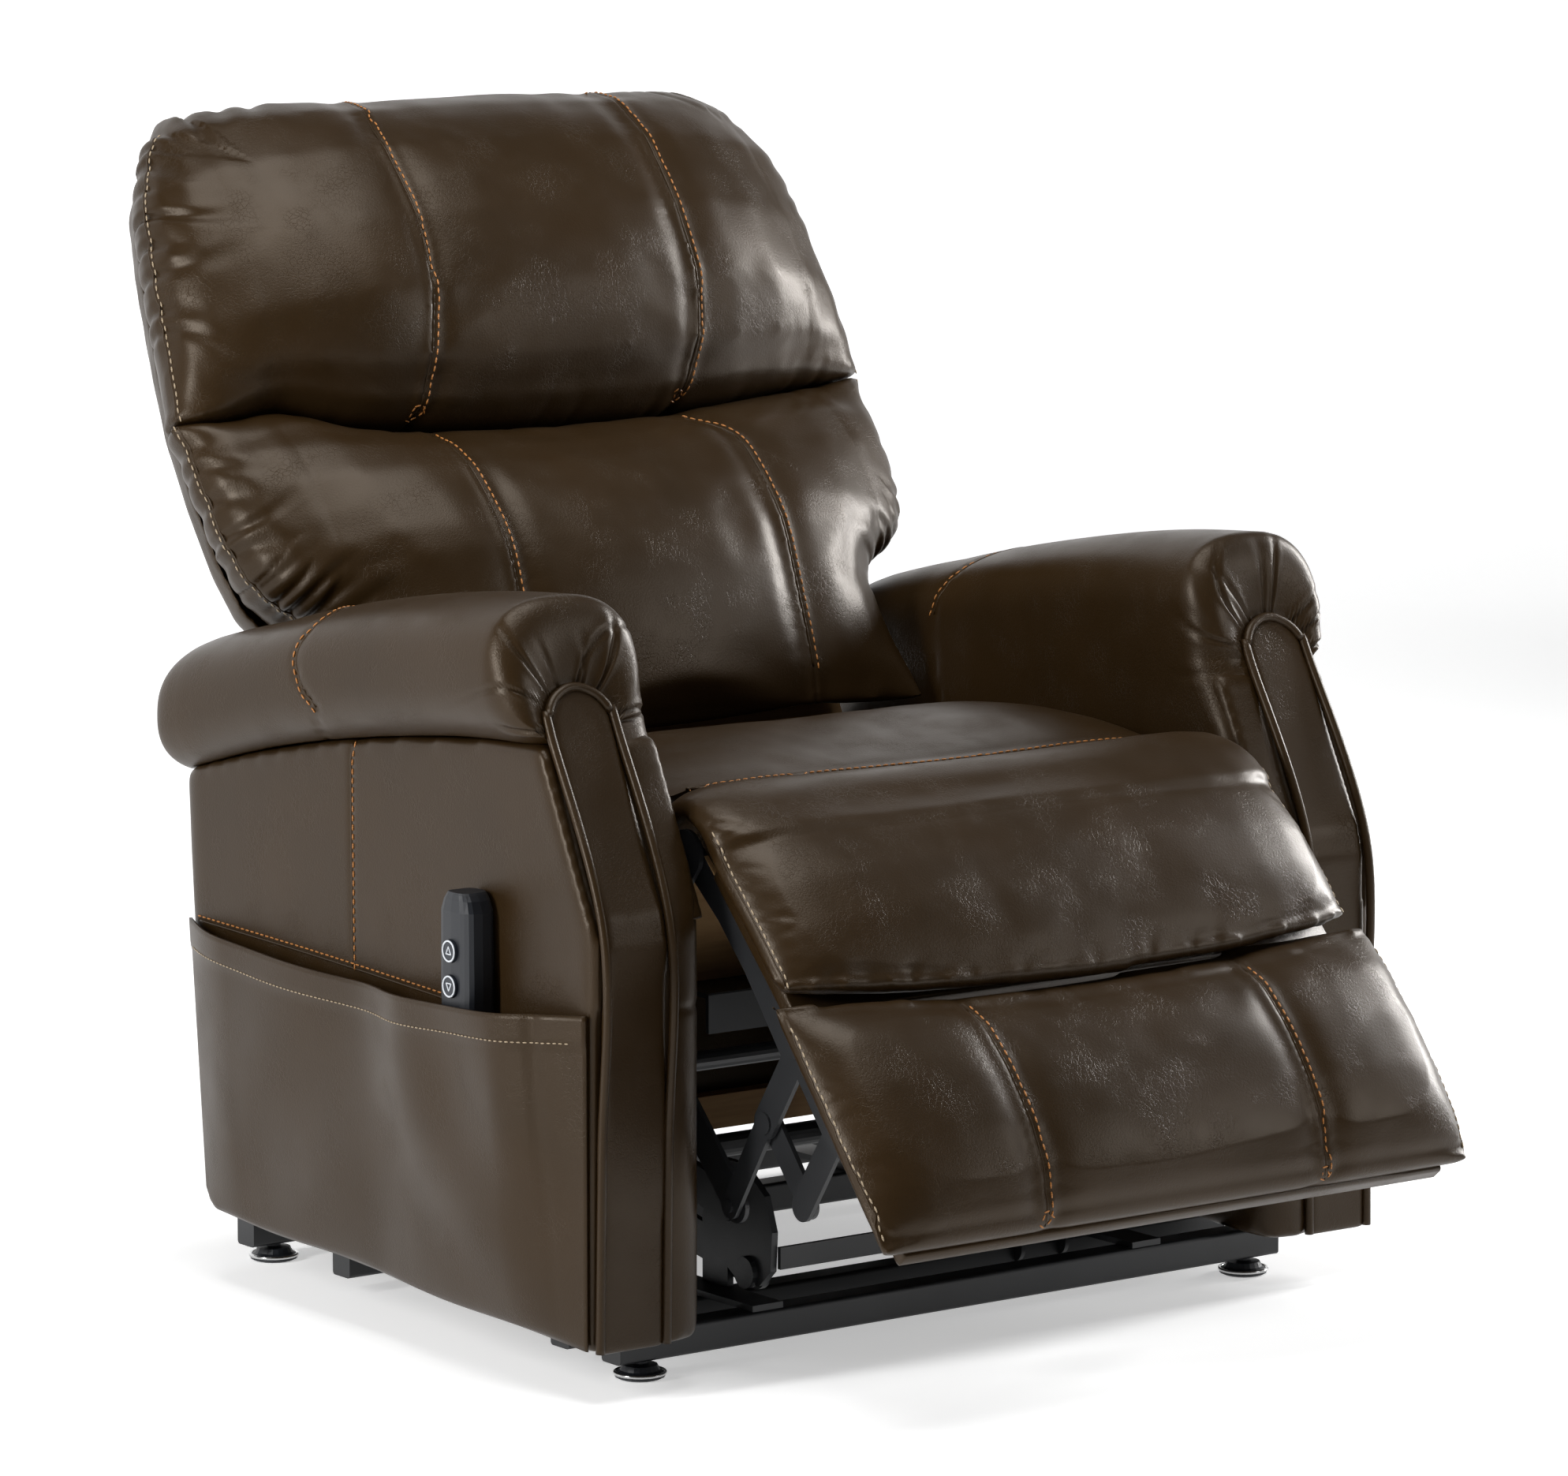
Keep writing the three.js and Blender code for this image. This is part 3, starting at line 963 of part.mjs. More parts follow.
function addRearSkirt() {
  const x = ARM_INNER_X - GAP;
  const [a, b, c, lowFront, lowRear, f] = skirtSection();
  const outline = new THREE.Shape([a, b, c, lowRear, lowFront, f].map(([y, z]) => new THREE.Vector2(y, z)));
  add('rear_skirt', alongX(outline, -x, x, 4), leather);
}

// ---------------------------------------------------------------- assembly

addFloorFrame();
addLiftArms();
addActuator();
addSeatCarrier();
addFootrestBoards();
addFootrestLinks();
addChaisePad();
addOttomanPad();
addSeatCushion();
addBack();
SIDES.forEach(([word, side]) => {
  addArmBody(word, side);
  addArmFrontPanel(word, side);
  addArmRoll(word, side);
});
addSidePocket();
addHandset();
addRearSkirt();
chair.position.y = -FOOTPRINT_CENTRE_Y;

export default chair;
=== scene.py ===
"""Lift recliner chair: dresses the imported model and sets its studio.

All sizes are written in drawing millimetres, measured from the arms' front faces (Y), the chair's middle (X)
and the floor (Z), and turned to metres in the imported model's frame by ``place``.
"""

from __future__ import annotations

import json
import logging
import math
from dataclasses import dataclass, field
from enum import Enum
from typing import Callable, Iterable, Sequence

import bmesh
import bpy
import numpy as np
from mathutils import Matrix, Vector
from mathutils.bvhtree import BVHTree


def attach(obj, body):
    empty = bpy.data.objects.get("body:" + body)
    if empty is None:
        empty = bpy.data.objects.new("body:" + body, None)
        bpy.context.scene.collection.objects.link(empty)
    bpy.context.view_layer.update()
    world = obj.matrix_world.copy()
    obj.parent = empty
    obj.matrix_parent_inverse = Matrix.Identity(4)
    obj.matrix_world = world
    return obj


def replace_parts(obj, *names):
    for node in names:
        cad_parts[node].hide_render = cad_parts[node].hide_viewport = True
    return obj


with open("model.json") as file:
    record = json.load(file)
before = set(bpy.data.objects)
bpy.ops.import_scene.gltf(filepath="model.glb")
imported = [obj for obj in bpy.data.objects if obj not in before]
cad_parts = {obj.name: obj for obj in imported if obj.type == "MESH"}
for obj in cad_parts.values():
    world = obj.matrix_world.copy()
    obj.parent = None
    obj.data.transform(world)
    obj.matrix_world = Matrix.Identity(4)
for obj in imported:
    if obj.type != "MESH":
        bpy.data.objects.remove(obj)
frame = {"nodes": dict(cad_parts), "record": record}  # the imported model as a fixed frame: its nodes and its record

log = logging.getLogger("recliner")

MM = 0.001
FOOTPRINT_CENTRE_Y = 318.0
Point = tuple[float, float, float]


class Body(str, Enum):
    """The moving groups of the chair."""

    BASE = "base"
    CARRIAGE = "carriage"
    BACK = "back"
    CHAISE = "chaise"
    OTTOMAN = "ottoman"
    HANDSET = "handset_body"
    UP = "up_button"
    DOWN = "down_button"


def place(x: float, y: float, z: float) -> Vector:
    """Turns drawing millimetres into the model's metres."""
    return Vector((x, y - FOOTPRINT_CENTRE_Y, z)) * MM


def place_all(points: Sequence[Point] | np.ndarray) -> np.ndarray:
    """Turns rows of drawing millimetres into the model's metres.

    Args:
        points: Rows of x, y and z.

    Returns:
        The same rows in metres.
    """
    rows = np.asarray(points, float).reshape(-1, 3).copy()
    rows[:, 1] -= FOOTPRINT_CENTRE_Y
    return rows * MM


# ------------------------------------------------------------------ materials


def linear(hex_colour: str) -> tuple[float, float, float, float]:
    """Turns an sRGB hex value into a linear colour.

    Args:
        hex_colour: Six hex digits.

    Returns:
        Linear red, green and blue, with full alpha.
    """
    channels = [int(hex_colour[i : i + 2], 16) / 255 for i in (0, 2, 4)]
    red, green, blue = ((c / 12.92) if c <= 0.04045 else ((c + 0.055) / 1.055) ** 2.4 for c in channels)
    return red, green, blue, 1.0


@dataclass
class NodeBench:
    """A material's node tree, with one way to add a node."""

    material: bpy.types.Material
    shader: bpy.types.Node | None = None
    output: bpy.types.Node | None = None
    where: bpy.types.NodeSocket | None = None

    @classmethod
    def start(cls, name: str) -> NodeBench:
        """Makes a material with a Principled shader on its output, and each point's place on the object."""
        material = bpy.data.materials.new(name)
        material.use_nodes = True
        material.node_tree.nodes.clear()
        bench = cls(material)
        bench.shader = bench.node("BsdfPrincipled")
        bench.output = bench.node("OutputMaterial", {"Surface": bench.shader.outputs[0]})
        bench.where = bench.node("TexCoord").outputs["Object"]
        return bench

    def node(self, kind: str, inputs: dict | None = None, **settings) -> bpy.types.Node:
        """Adds a node with its settings and the links or values of its inputs.

        Args:
            kind: The node's type name, after ShaderNode.
            inputs: Input name or number to an output socket or a value.
            **settings: The node's own properties.

        Returns:
            The new node.
        """
        node = self.material.node_tree.nodes.new(f"ShaderNode{kind}")
        for key, value in settings.items():
            setattr(node, key, value)
        self.feed(node, inputs or {})
        return node

    def feed(self, node: bpy.types.Node, inputs: dict) -> None:
        """Links output sockets to a node's inputs, or sets their values."""
        for key, value in inputs.items():
            if isinstance(value, bpy.types.NodeSocket):
                self.material.node_tree.links.new(value, node.inputs[key])
            else:
                node.inputs[key].default_value = value


@dataclass(frozen=True)
class BondedLeather:
    """Glossy coated upholstery leather: a thin clear finish over embossed grain."""

    name: str = "glossy bonded leather"
    colour: str = "30210f"
    deep: str = "241808"
    # The wax coat is a little amber, so its reflections are too.
    reflection: str = "fff0de"
    roughness: float = 0.36
    grain_mm: float = 1.5
    crackle_mm: float = 4.5

    def make(self) -> bpy.types.Material:
        """Builds the leather: pebbled grain, hair-fine crackle where the coat was flexed, uneven gloss."""
        bench = NodeBench.start(self.name)
        cloud = bench.node("TexNoise", {"Vector": bench.where, "Scale": 11.0, "Detail": 3.0})
        tint = bench.node("Mix", {0: cloud.outputs["Fac"], 6: linear(self.deep),
                                            7: linear(self.colour)}, data_type="RGBA")
        # Pebbles 1.5 mm across, as on embossed upholstery hides.
        pebble = bench.node("TexVoronoi", {"Vector": bench.where, "Scale": 1 / (self.grain_mm * MM)},
                            feature="SMOOTH_F1")
        # Crackle: the edges of bent cells some 4.5 mm across, thinner than a hair and strongest in patches.
        bend = bench.node("TexNoise", {"Vector": bench.where, "Scale": 110.0, "Detail": 3.0})
        bent = bench.node("Mix", {0: 0.012, 4: bench.where, 5: bend.outputs["Color"]}, data_type="VECTOR")
        cells = bench.node("TexVoronoi",
                           {"Vector": bent.outputs[1], "Scale": 1 / (self.crackle_mm * MM)},
                           feature="DISTANCE_TO_EDGE")
        crack = bench.node("MapRange", {0: cells.outputs["Distance"], 1: 0.0, 2: 0.07, 3: 0.0, 4: 1.0})
        patch = bench.node("TexNoise", {"Vector": bench.where, "Scale": 24.0, "Detail": 2.0})
        patches = bench.node("MapRange", {0: patch.outputs["Fac"], 1: 0.42, 2: 0.66, 3: 0.0, 4: 0.5})
        gloss = bench.node("MapRange", {0: patch.outputs["Fac"], 3: self.roughness - 0.06,
                                                  4: self.roughness + 0.1})
        grain = bench.node("Bump", {"Height": pebble.outputs["Distance"], "Strength": 0.3,
                                              "Distance": 0.00025})
        crackle = bench.node("Bump", {"Height": crack.outputs[0], "Strength": patches.outputs[0],
                                                "Distance": 0.0002, "Normal": grain.outputs[0]})
        bench.feed(bench.shader, {"Base Color": tint.outputs[2], "Roughness": gloss.outputs[0],
                                  "Normal": crackle.outputs[0], "Specular IOR Level": 0.3,
                                  "Specular Tint": linear(self.reflection)})
        return bench.material


@dataclass(frozen=True)
class Thread:
    """Waxed polyester upholstery thread, two plies twisted."""

    name: str = "waxed polyester thread"
    colour: str = "c07c38"
    # Painted shade: the darker colour laid into the twist's grooves.
    groove_shade: str = "95602a"

    def make(self) -> bpy.types.Material:
        """Builds the thread: a soft sheen, with the twist as a fine slanted wave in its bump and as painted
        shade in its grooves.
        """
        bench = NodeBench.start(self.name)
        twist = bench.node("TexWave", {"Vector": bench.where, "Scale": 320.0, "Distortion": 2.0},
                           bands_direction="DIAGONAL")
        bump = bench.node("Bump", {"Height": twist.outputs["Fac"], "Strength": 0.4, "Distance": 0.0002})
        # Painted shade: the colour darkens towards the twist's grooves, where the bump is low.
        tint = bench.node("Mix", {0: twist.outputs["Fac"], 6: linear(self.groove_shade),
                                            7: linear(self.colour)}, data_type="RGBA")
        bench.feed(bench.shader, {"Base Color": tint.outputs[2], "Normal": bump.outputs[0], "Roughness": 0.5})
        return bench.material


@dataclass(frozen=True)
class PaintedSteel:
    """Powder-coated steel: a satin skin with the faint orange peel of baked powder."""

    name: str = "black powder-coated steel"
    colour: str = "17181a"
    dusty: str = "232426"
    roughness: float = 0.42

    def make(self) -> bpy.types.Material:
        """Builds the coat on its own."""
        bench = NodeBench.start(self.name)
        self.dress(bench, bench.shader)
        return bench.material

    def dress(self, bench: NodeBench, shader: bpy.types.Node) -> None:
        """Gives a shader the coat's colour, gloss and peel, about 1.5 mm across and slightly dusty."""
        peel = bench.node("TexNoise", {"Vector": bench.where, "Scale": 650.0, "Detail": 2.0})
        dust = bench.node("TexNoise", {"Vector": bench.where, "Scale": 18.0, "Detail": 4.0})
        rough = bench.node("MapRange", {0: dust.outputs["Fac"], 3: self.roughness - 0.07,
                                                  4: self.roughness + 0.1})
        bump = bench.node("Bump", {"Height": peel.outputs["Fac"], "Strength": 0.12, "Distance": 0.0004})
        tint = bench.node("Mix", {0: dust.outputs["Fac"], 6: linear(self.colour),
                                            7: linear(self.dusty)}, data_type="RGBA")
        bench.feed(shader, {"Base Color": tint.outputs[2], "Roughness": rough.outputs[0],
                            "Normal": bump.outputs[0]})


@dataclass(frozen=True)
class PlatedSteel:
    """Zinc- or chrome-plated steel, drawn or spun, with faint lines from the die."""

    name: str = "bright plated steel"
    colour: str = "c4c4c4"
    roughness: float = 0.2

    def make(self) -> bpy.types.Material:
        """Builds the plating: a mirror broken by fine turning lines."""
        bench = NodeBench.start(self.name)
        stretched = bench.node("Mapping", {"Vector": bench.where, "Scale": (60.0, 60.0, 900.0)})
        lines = bench.node("TexNoise", {"Vector": stretched.outputs[0], "Scale": 1.0, "Detail": 2.0})
        rough = bench.node("MapRange", {0: lines.outputs["Fac"], 3: self.roughness - 0.06,
                                                  4: self.roughness + 0.12})
        bench.feed(bench.shader, {"Base Color": linear(self.colour), "Roughness": rough.outputs[0],
                                  "Metallic": 1.0})
        return bench.material


@dataclass(frozen=True)
class RawBoard:
    """Unfinished poplar board: pale, with long soft grain."""

    name: str = "raw poplar board"
    light: str = "b79263"
    dark: str = "8f6a40"

    def make(self) -> bpy.types.Material:
        """Builds the board on its own."""
        return self.bench().material

    def bench(self) -> NodeBench:
        """Builds the board's grain lines, some 4 mm apart and drawn out along X, and gives their bench."""
        bench = NodeBench.start(self.name)
        along = bench.node("Mapping", {"Vector": bench.where, "Scale": (9.0, 120.0, 120.0)})
        grain = bench.node("TexNoise", {"Vector": along.outputs[0], "Scale": 2.0, "Detail": 6.0,
                                                  "Distortion": 0.4})
        tint = bench.node("Mix", {0: grain.outputs["Fac"], 6: linear(self.dark),
                                            7: linear(self.light)}, data_type="RGBA")
        bump = bench.node("Bump", {"Height": grain.outputs["Fac"], "Strength": 0.2, "Distance": 0.0005})
        bench.feed(bench.shader, {"Base Color": tint.outputs[2], "Normal": bump.outputs[0],
                                  "Roughness": 0.72})
        return bench


@dataclass(frozen=True)
class BracketedBoard:
    """A poplar board whose end brackets, under its lower face, are black powder-coated steel."""

    name: str
    origin: tuple[float, float]
    normal: tuple[float, float]
    underside: float = 13.9

    def make(self) -> bpy.types.Material:
        """Builds both finishes and parts them at the board's underside, with the steel below it."""
        bench = RawBoard(self.name).bench()
        steel = bench.node("BsdfPrincipled")
        PaintedSteel().dress(bench, steel)
        across = (0.0, *self.normal)
        height = bench.node("VectorMath", {0: bench.where, 1: across}, operation="DOT_PRODUCT")
        start = float(np.dot(place(0.0, *self.origin), across)) + self.underside * MM
        above = bench.node("Math", {0: height.outputs["Value"], 1: start}, operation="GREATER_THAN")
        both = bench.node("MixShader", {0: above.outputs[0], 1: steel.outputs[0],
                                                  2: bench.shader.outputs[0]})
        bench.feed(bench.output, {"Surface": both.outputs[0]})
        return bench.material


@dataclass(frozen=True)
class MouldedPlastic:
    """Injection-moulded ABS with a spark-eroded matt grain."""

    name: str
    colour: str
    roughness: float = 0.5

    def make(self) -> bpy.types.Material:
        """Builds the moulding: grain about 0.5 mm across under a soft gloss."""
        bench = NodeBench.start(self.name)
        spark = bench.node("TexNoise", {"Vector": bench.where, "Scale": 1800.0, "Detail": 2.0})
        bump = bench.node("Bump", {"Height": spark.outputs["Fac"], "Strength": 0.15,
                                             "Distance": 0.0002})
        cloud = bench.node("TexNoise", {"Vector": bench.where, "Scale": 30.0})
        rough = bench.node("MapRange", {0: cloud.outputs["Fac"], 3: self.roughness - 0.05,
                                                  4: self.roughness + 0.05})
        bench.feed(bench.shader, {"Base Color": linear(self.colour), "Normal": bump.outputs[0],
                                  "Roughness": rough.outputs[0]})
        return bench.material


def made_of(finish: Callable[..., object], *values: object) -> bpy.types.Material:
    """Gives a field that makes a finish from its values when the set of finishes is made."""
    return field(default_factory=lambda: finish(*values).make())


@dataclass
class Finishes:
    """Every finish of the chair, made once."""

    leather: bpy.types.Material = made_of(BondedLeather)
    thread: bpy.types.Material = made_of(Thread)
    # The pale thread's second colour is painted shade in its twist's grooves.
    pale_thread: bpy.types.Material = made_of(Thread, "pale polyester thread", "b9a78c", "8f7c62")
    steel: bpy.types.Material = made_of(PaintedSteel)
    plated: bpy.types.Material = made_of(PlatedSteel)
    board: bpy.types.Material = made_of(RawBoard)
    housing: bpy.types.Material = made_of(MouldedPlastic, "moulded handset plastic", "14171d", 0.46)
    button: bpy.types.Material = made_of(MouldedPlastic, "moulded button plastic", "1b2029", 0.4)
    print_white: bpy.types.Material = made_of(MouldedPlastic, "pad-printed ink", "d9dde2", 0.55)


# ------------------------------------------------------------------ mesh tools


def in_scene(name: str, data: bpy.types.ID) -> bpy.types.Object:
    """Makes an object of a mesh, lamp or camera and puts it in the scene."""
    made = bpy.data.objects.new(name, data)
    bpy.context.collection.objects.link(made)
    return made


def mesh_object(name: str, points: np.ndarray, faces: Iterable[Sequence[int]],
                edges: Sequence = ()) -> bpy.types.Object:
    """Makes a smooth-shaded mesh object in the scene.

    Args:
        name: The object's name.
        points: Rows of x, y and z in metres.
        faces: Corner numbers of each face.
        edges: Point pairs, for a wire with no faces.

    Returns:
        The new object.
    """
    mesh = bpy.data.meshes.new(name)
    mesh.from_pydata([tuple(p) for p in points], list(edges), [tuple(f) for f in faces])
    mesh.validate()
    mesh.polygons.foreach_set("use_smooth", [True] * len(mesh.polygons))
    return in_scene(name, mesh)


def outward(piece: bpy.types.Object) -> bpy.types.Object:
    """Merges doubles and turns the faces outwards."""
    work = bmesh.new()
    work.from_mesh(piece.data)
    bmesh.ops.remove_doubles(work, verts=work.verts, dist=1e-6)
    bmesh.ops.recalc_face_normals(work, faces=work.faces)
    work.to_mesh(piece.data)
    work.free()
    return piece


def round_angles(count: int) -> np.ndarray:
    """Gives evenly spaced angles once round."""
    return np.linspace(0, 2 * math.pi, count, endpoint=False)


def loft(name: str, rings: np.ndarray, closed: bool = False) -> bpy.types.Object:
    """Joins rings of points into one closed skin.

    Args:
        name: The object's name.
        rings: Array of rings, points and coordinates, in metres.
        closed: Whether the last ring meets the first, so that there are no end caps.

    Returns:
        The skin, faces outwards.
    """
    count, per = rings.shape[:2]
    faces = []
    for r in range(count if closed else count - 1):
        a, b = r * per, ((r + 1) % count) * per
        faces += [(a + i, a + (i + 1) % per, b + (i + 1) % per, b + i) for i in range(per)]
    points = rings.reshape(-1, 3)
    if not closed:
        points = np.vstack([points, rings[0].mean(0), rings[-1].mean(0)])
        first, last, end = len(points) - 2, len(points) - 1, (count - 1) * per
        faces += [(first, (i + 1) % per, i) for i in range(per)]
        faces += [(last, end + i, end + (i + 1) % per) for i in range(per)]
    return outward(mesh_object(name, points, faces))


def tube(name: str, path: np.ndarray, radius: float, sides: int, closed: bool = False) -> bpy.types.Object:
    """Sweeps a round section along a path.

    Args:
        name: The object's name.
        path: Rows of points in metres.
        radius: The section's radius in metres.
        sides: Points round the section.
        closed: Whether the path is a loop.

    Returns:
        The tube, capped where the path is open.
    """
    tangents = np.roll(path, -1, 0) - np.roll(path, 1, 0) if closed else np.gradient(path, axis=0)
    tangents /= np.linalg.norm(tangents, axis=1, keepdims=True)
    side = np.cross(tangents[0], (0.31, 0.17, 0.93))
    angles, rings = round_angles(sides), []
    for point, tangent in zip(path, tangents):
        side = side - tangent * np.dot(side, tangent)
        side /= np.linalg.norm(side)
        other = np.cross(tangent, side)
        rings.append(point + radius * (np.outer(np.cos(angles), side) + np.outer(np.sin(angles), other)))
    return loft(name, np.array(rings), closed)


def smooth_path(points: Sequence[Point] | np.ndarray, step: float) -> np.ndarray:
    """Draws a smooth curve through points and samples it evenly.

    Args:
        points: Rows of control points.
        step: Distance between samples, in the points' unit.

    Returns:
        Rows of samples.
    """
    p = np.asarray(points, float)
    p = np.vstack([2 * p[0] - p[1], p, 2 * p[-1] - p[-2]])
    fine = []
    for i in range(1, len(p) - 2):
        for t in np.linspace(0, 1, 24, endpoint=False):
            fine.append(0.5 * (2 * p[i] + (p[i + 1] - p[i - 1]) * t
                               + (2 * p[i - 1] - 5 * p[i] + 4 * p[i + 1] - p[i + 2]) * t**2
                               + (3 * p[i] - p[i - 1] - 3 * p[i + 1] + p[i + 2]) * t**3))
    fine.append(p[-2])
    curve = np.array(fine)
    lengths = np.concatenate([[0], np.cumsum(np.linalg.norm(np.diff(curve, axis=0), axis=1))])
    samples = np.linspace(0, lengths[-1], max(2, int(lengths[-1] / step) + 1))
    return np.stack([np.interp(samples, lengths, curve[:, k]) for k in range(3)], axis=1)


def baked(piece: bpy.types.Object) -> bpy.types.Object:
    """Applies a piece's modifiers by replacing its mesh with the evaluated one."""
    graph = bpy.context.evaluated_depsgraph_get()
    graph.update()
    mesh = bpy.data.meshes.new_from_object(piece.evaluated_get(graph))
    old = piece.data
    piece.modifiers.clear()
    piece.data = mesh
    bpy.data.meshes.remove(old)
    mesh.polygons.foreach_set("use_smooth", [True] * len(mesh.polygons))
    return piece


def copy_of(node: str, name: str) -> bpy.types.Object:
    """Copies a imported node's mesh into a new object, with its doubles merged."""
    mesh = frame["nodes"][node].data.copy()
    mesh.name = name
    work = bmesh.new()
    work.from_mesh(mesh)
    bmesh.ops.remove_doubles(work, verts=work.verts, dist=2e-5)
    work.to_mesh(mesh)
    work.free()
    mesh.materials.clear()
    return in_scene(name, mesh)


def read_rows(items: bpy.types.bpy_prop_collection, label: str) -> np.ndarray:
    """Reads a vector of each mesh item, such as its place or normal, as rows."""
    rows = np.empty(len(items) * 3, np.float32)
    items.foreach_get(label, rows)
    return rows.reshape(-1, 3).astype(float)


def get_points(piece: bpy.types.Object) -> np.ndarray:
    """Reads a mesh's points as rows."""
    return read_rows(piece.data.vertices, "co")


def get_normals(piece: bpy.types.Object) -> np.ndarray:
    """Reads a mesh's point normals as rows."""
    return read_rows(piece.data.vertex_normals, "vector")


def set_points(piece: bpy.types.Object, rows: np.ndarray) -> None:
    """Writes a mesh's points."""
    piece.data.vertices.foreach_set("co", rows.astype(np.float32).ravel())
    piece.data.update()


def in_drawing(rows: np.ndarray) -> np.ndarray:
    """Turns rows of model metres back into drawing millimetres."""
    out = rows / MM
    out[:, 1] += FOOTPRINT_CENTRE_Y
    return out


def move_points(piece: bpy.types.Object, rule: Callable[[np.ndarray], np.ndarray]) -> None:
    """Moves a mesh's points by a rule written for rows of drawing millimetres."""
    set_points(piece, place_all(rule(in_drawing(get_points(piece)))))


def finish_piece(piece: bpy.types.Object, body: Body, material: bpy.types.Material) -> bpy.types.Object:
    """Dresses a finished piece, hangs it on its body and logs it.

    Args:
        piece: The finished object.
        body: The group it moves with.
        material: Its finish.

    Returns:
        The piece.
    """
    piece.data.materials.clear()
    piece.data.materials.append(material)
    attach(piece, body.value)
    log.info("%s: %d faces", piece.name, len(piece.data.polygons))
    return piece


# ------------------------------------------------------------------ stitching


@dataclass(frozen=True)
class Stitching:
    """One row of thread stitches, laid along a line by a node tree."""

    pitch: float = 7.4
    length: float = 5.6
    radius: float = 0.8

    def tree(self) -> bpy.types.GeometryNodeTree:
        """Builds the tree, or gives the one already built."""
        name = "stitch row"
        if name in bpy.data.node_groups:
            return bpy.data.node_groups[name]
        tree = bpy.data.node_groups.new(name, "GeometryNodeTree")
        face = tree.interface
        face.new_socket("Geometry", in_out="INPUT", socket_type="NodeSocketGeometry")
        for label in ("Pitch", "Length", "Radius"):
            face.new_socket(label, in_out="INPUT", socket_type="NodeSocketFloat")
        face.new_socket("Thread", in_out="INPUT", socket_type="NodeSocketMaterial")
        face.new_socket("Geometry", in_out="OUTPUT", socket_type="NodeSocketGeometry")
        nodes, links = tree.nodes, tree.links
        start, end = nodes.new("NodeGroupInput"), nodes.new("NodeGroupOutput")
        curve, even = nodes.new("GeometryNodeMeshToCurve"), nodes.new("GeometryNodeResampleCurve")
        even.mode = "LENGTH"
        stitch = nodes.new("GeometryNodeMeshUVSphere")
        for label, value in (("Segments", 6), ("Rings", 4), ("Radius", 1.0)):
            stitch.inputs[label].default_value = value
        size, half = nodes.new("ShaderNodeCombineXYZ"), nodes.new("ShaderNodeMath")
        half.operation = "MULTIPLY"
        half.inputs[1].default_value = 0.5
        shape, tangent = nodes.new("GeometryNodeTransform"), nodes.new("GeometryNodeInputTangent")
        turn = nodes.new("FunctionNodeAlignEulerToVector")
        turn.axis = "Z"
        put, real = nodes.new("GeometryNodeInstanceOnPoints"), nodes.new("GeometryNodeRealizeInstances")
        dress = nodes.new("GeometryNodeSetMaterial")
        for a, b in (
            (start.outputs["Geometry"], curve.inputs["Mesh"]),
            (curve.outputs[0], even.inputs["Curve"]),
            (start.outputs["Pitch"], even.inputs["Length"]),
            (start.outputs["Length"], half.inputs[0]),
            (start.outputs["Radius"], size.inputs[0]),
            (start.outputs["Radius"], size.inputs[1]),
            (half.outputs[0], size.inputs[2]),
            (stitch.outputs["Mesh"], shape.inputs["Geometry"]),
            (size.outputs[0], shape.inputs["Scale"]),
            (even.outputs[0], put.inputs["Points"]),
            (shape.outputs[0], put.inputs["Instance"]),
            (tangent.outputs[0], turn.inputs["Vector"]),
            (turn.outputs[0], put.inputs["Rotation"]),
            (put.outputs[0], real.inputs[0]),
            (real.outputs[0], dress.inputs["Geometry"]),
            (start.outputs["Thread"], dress.inputs["Material"]),
            (dress.outputs[0], end.inputs[0]),
        ):
            links.new(a, b)
        return tree

    def lay(self, name: str, lines: Sequence[np.ndarray], body: Body,
            thread: bpy.types.Material) -> bpy.types.Object:
        """Lays stitches along lines that already lie on the leather.

        Args:
            name: The piece's name.
            lines: Rows of points in metres, one array for each line.
            body: The group it moves with.
            thread: The thread's finish.

        Returns:
            The row of stitches as one plain mesh.
        """
        points = np.vstack(lines)
        edges, first = [], 0
        for line in lines:
            edges += [(first + i, first + i + 1) for i in range(len(line) - 1)]
            first += len(line)
        piece = mesh_object(name, points, [], edges)
        modifier = piece.modifiers.new("stitches", "NODES")
        modifier.node_group = self.tree()
        sockets = {item.name: item.identifier for item in modifier.node_group.interface.items_tree
                   if item.item_type == "SOCKET" and item.in_out == "INPUT"}
        for label, value in (("Pitch", self.pitch * MM), ("Length", self.length * MM),
                             ("Radius", self.radius * MM), ("Thread", thread)):
            modifier[sockets[label]] = value
        return finish_piece(baked(piece), body, thread)


def on_surface(piece: bpy.types.Object, line: np.ndarray, rise: float = 0.35,
               facing: Point | None = None) -> np.ndarray:
    """Lays a line on a piece's surface.

    Args:
        piece: The piece to lie on.
        line: Rows of points in metres.
        rise: How far above the surface the line runs, in millimetres.
        facing: The direction the surface faces, to lay the line straight down on it, or None for the
            nearest point.

    Returns:
        The laid line, without points that would lie on top of each other.
    """
    tree = BVHTree.FromObject(piece, bpy.context.evaluated_depsgraph_get())
    laid = []
    for point in line:
        near, normal, _, _ = tree.find_nearest(Vector(point))
        if facing is not None:
            hit, slope, _, _ = tree.ray_cast(Vector(point) + Vector(facing) * 0.12, -Vector(facing))
            if hit is not None and (hit - Vector(point)).length < 0.06:
                near, normal = hit, slope
        at = near + normal * rise * MM
        if not laid or (at - laid[-1]).length > 0.4 * MM:
            laid.append(at)
    return np.array([tuple(at) for at in laid])


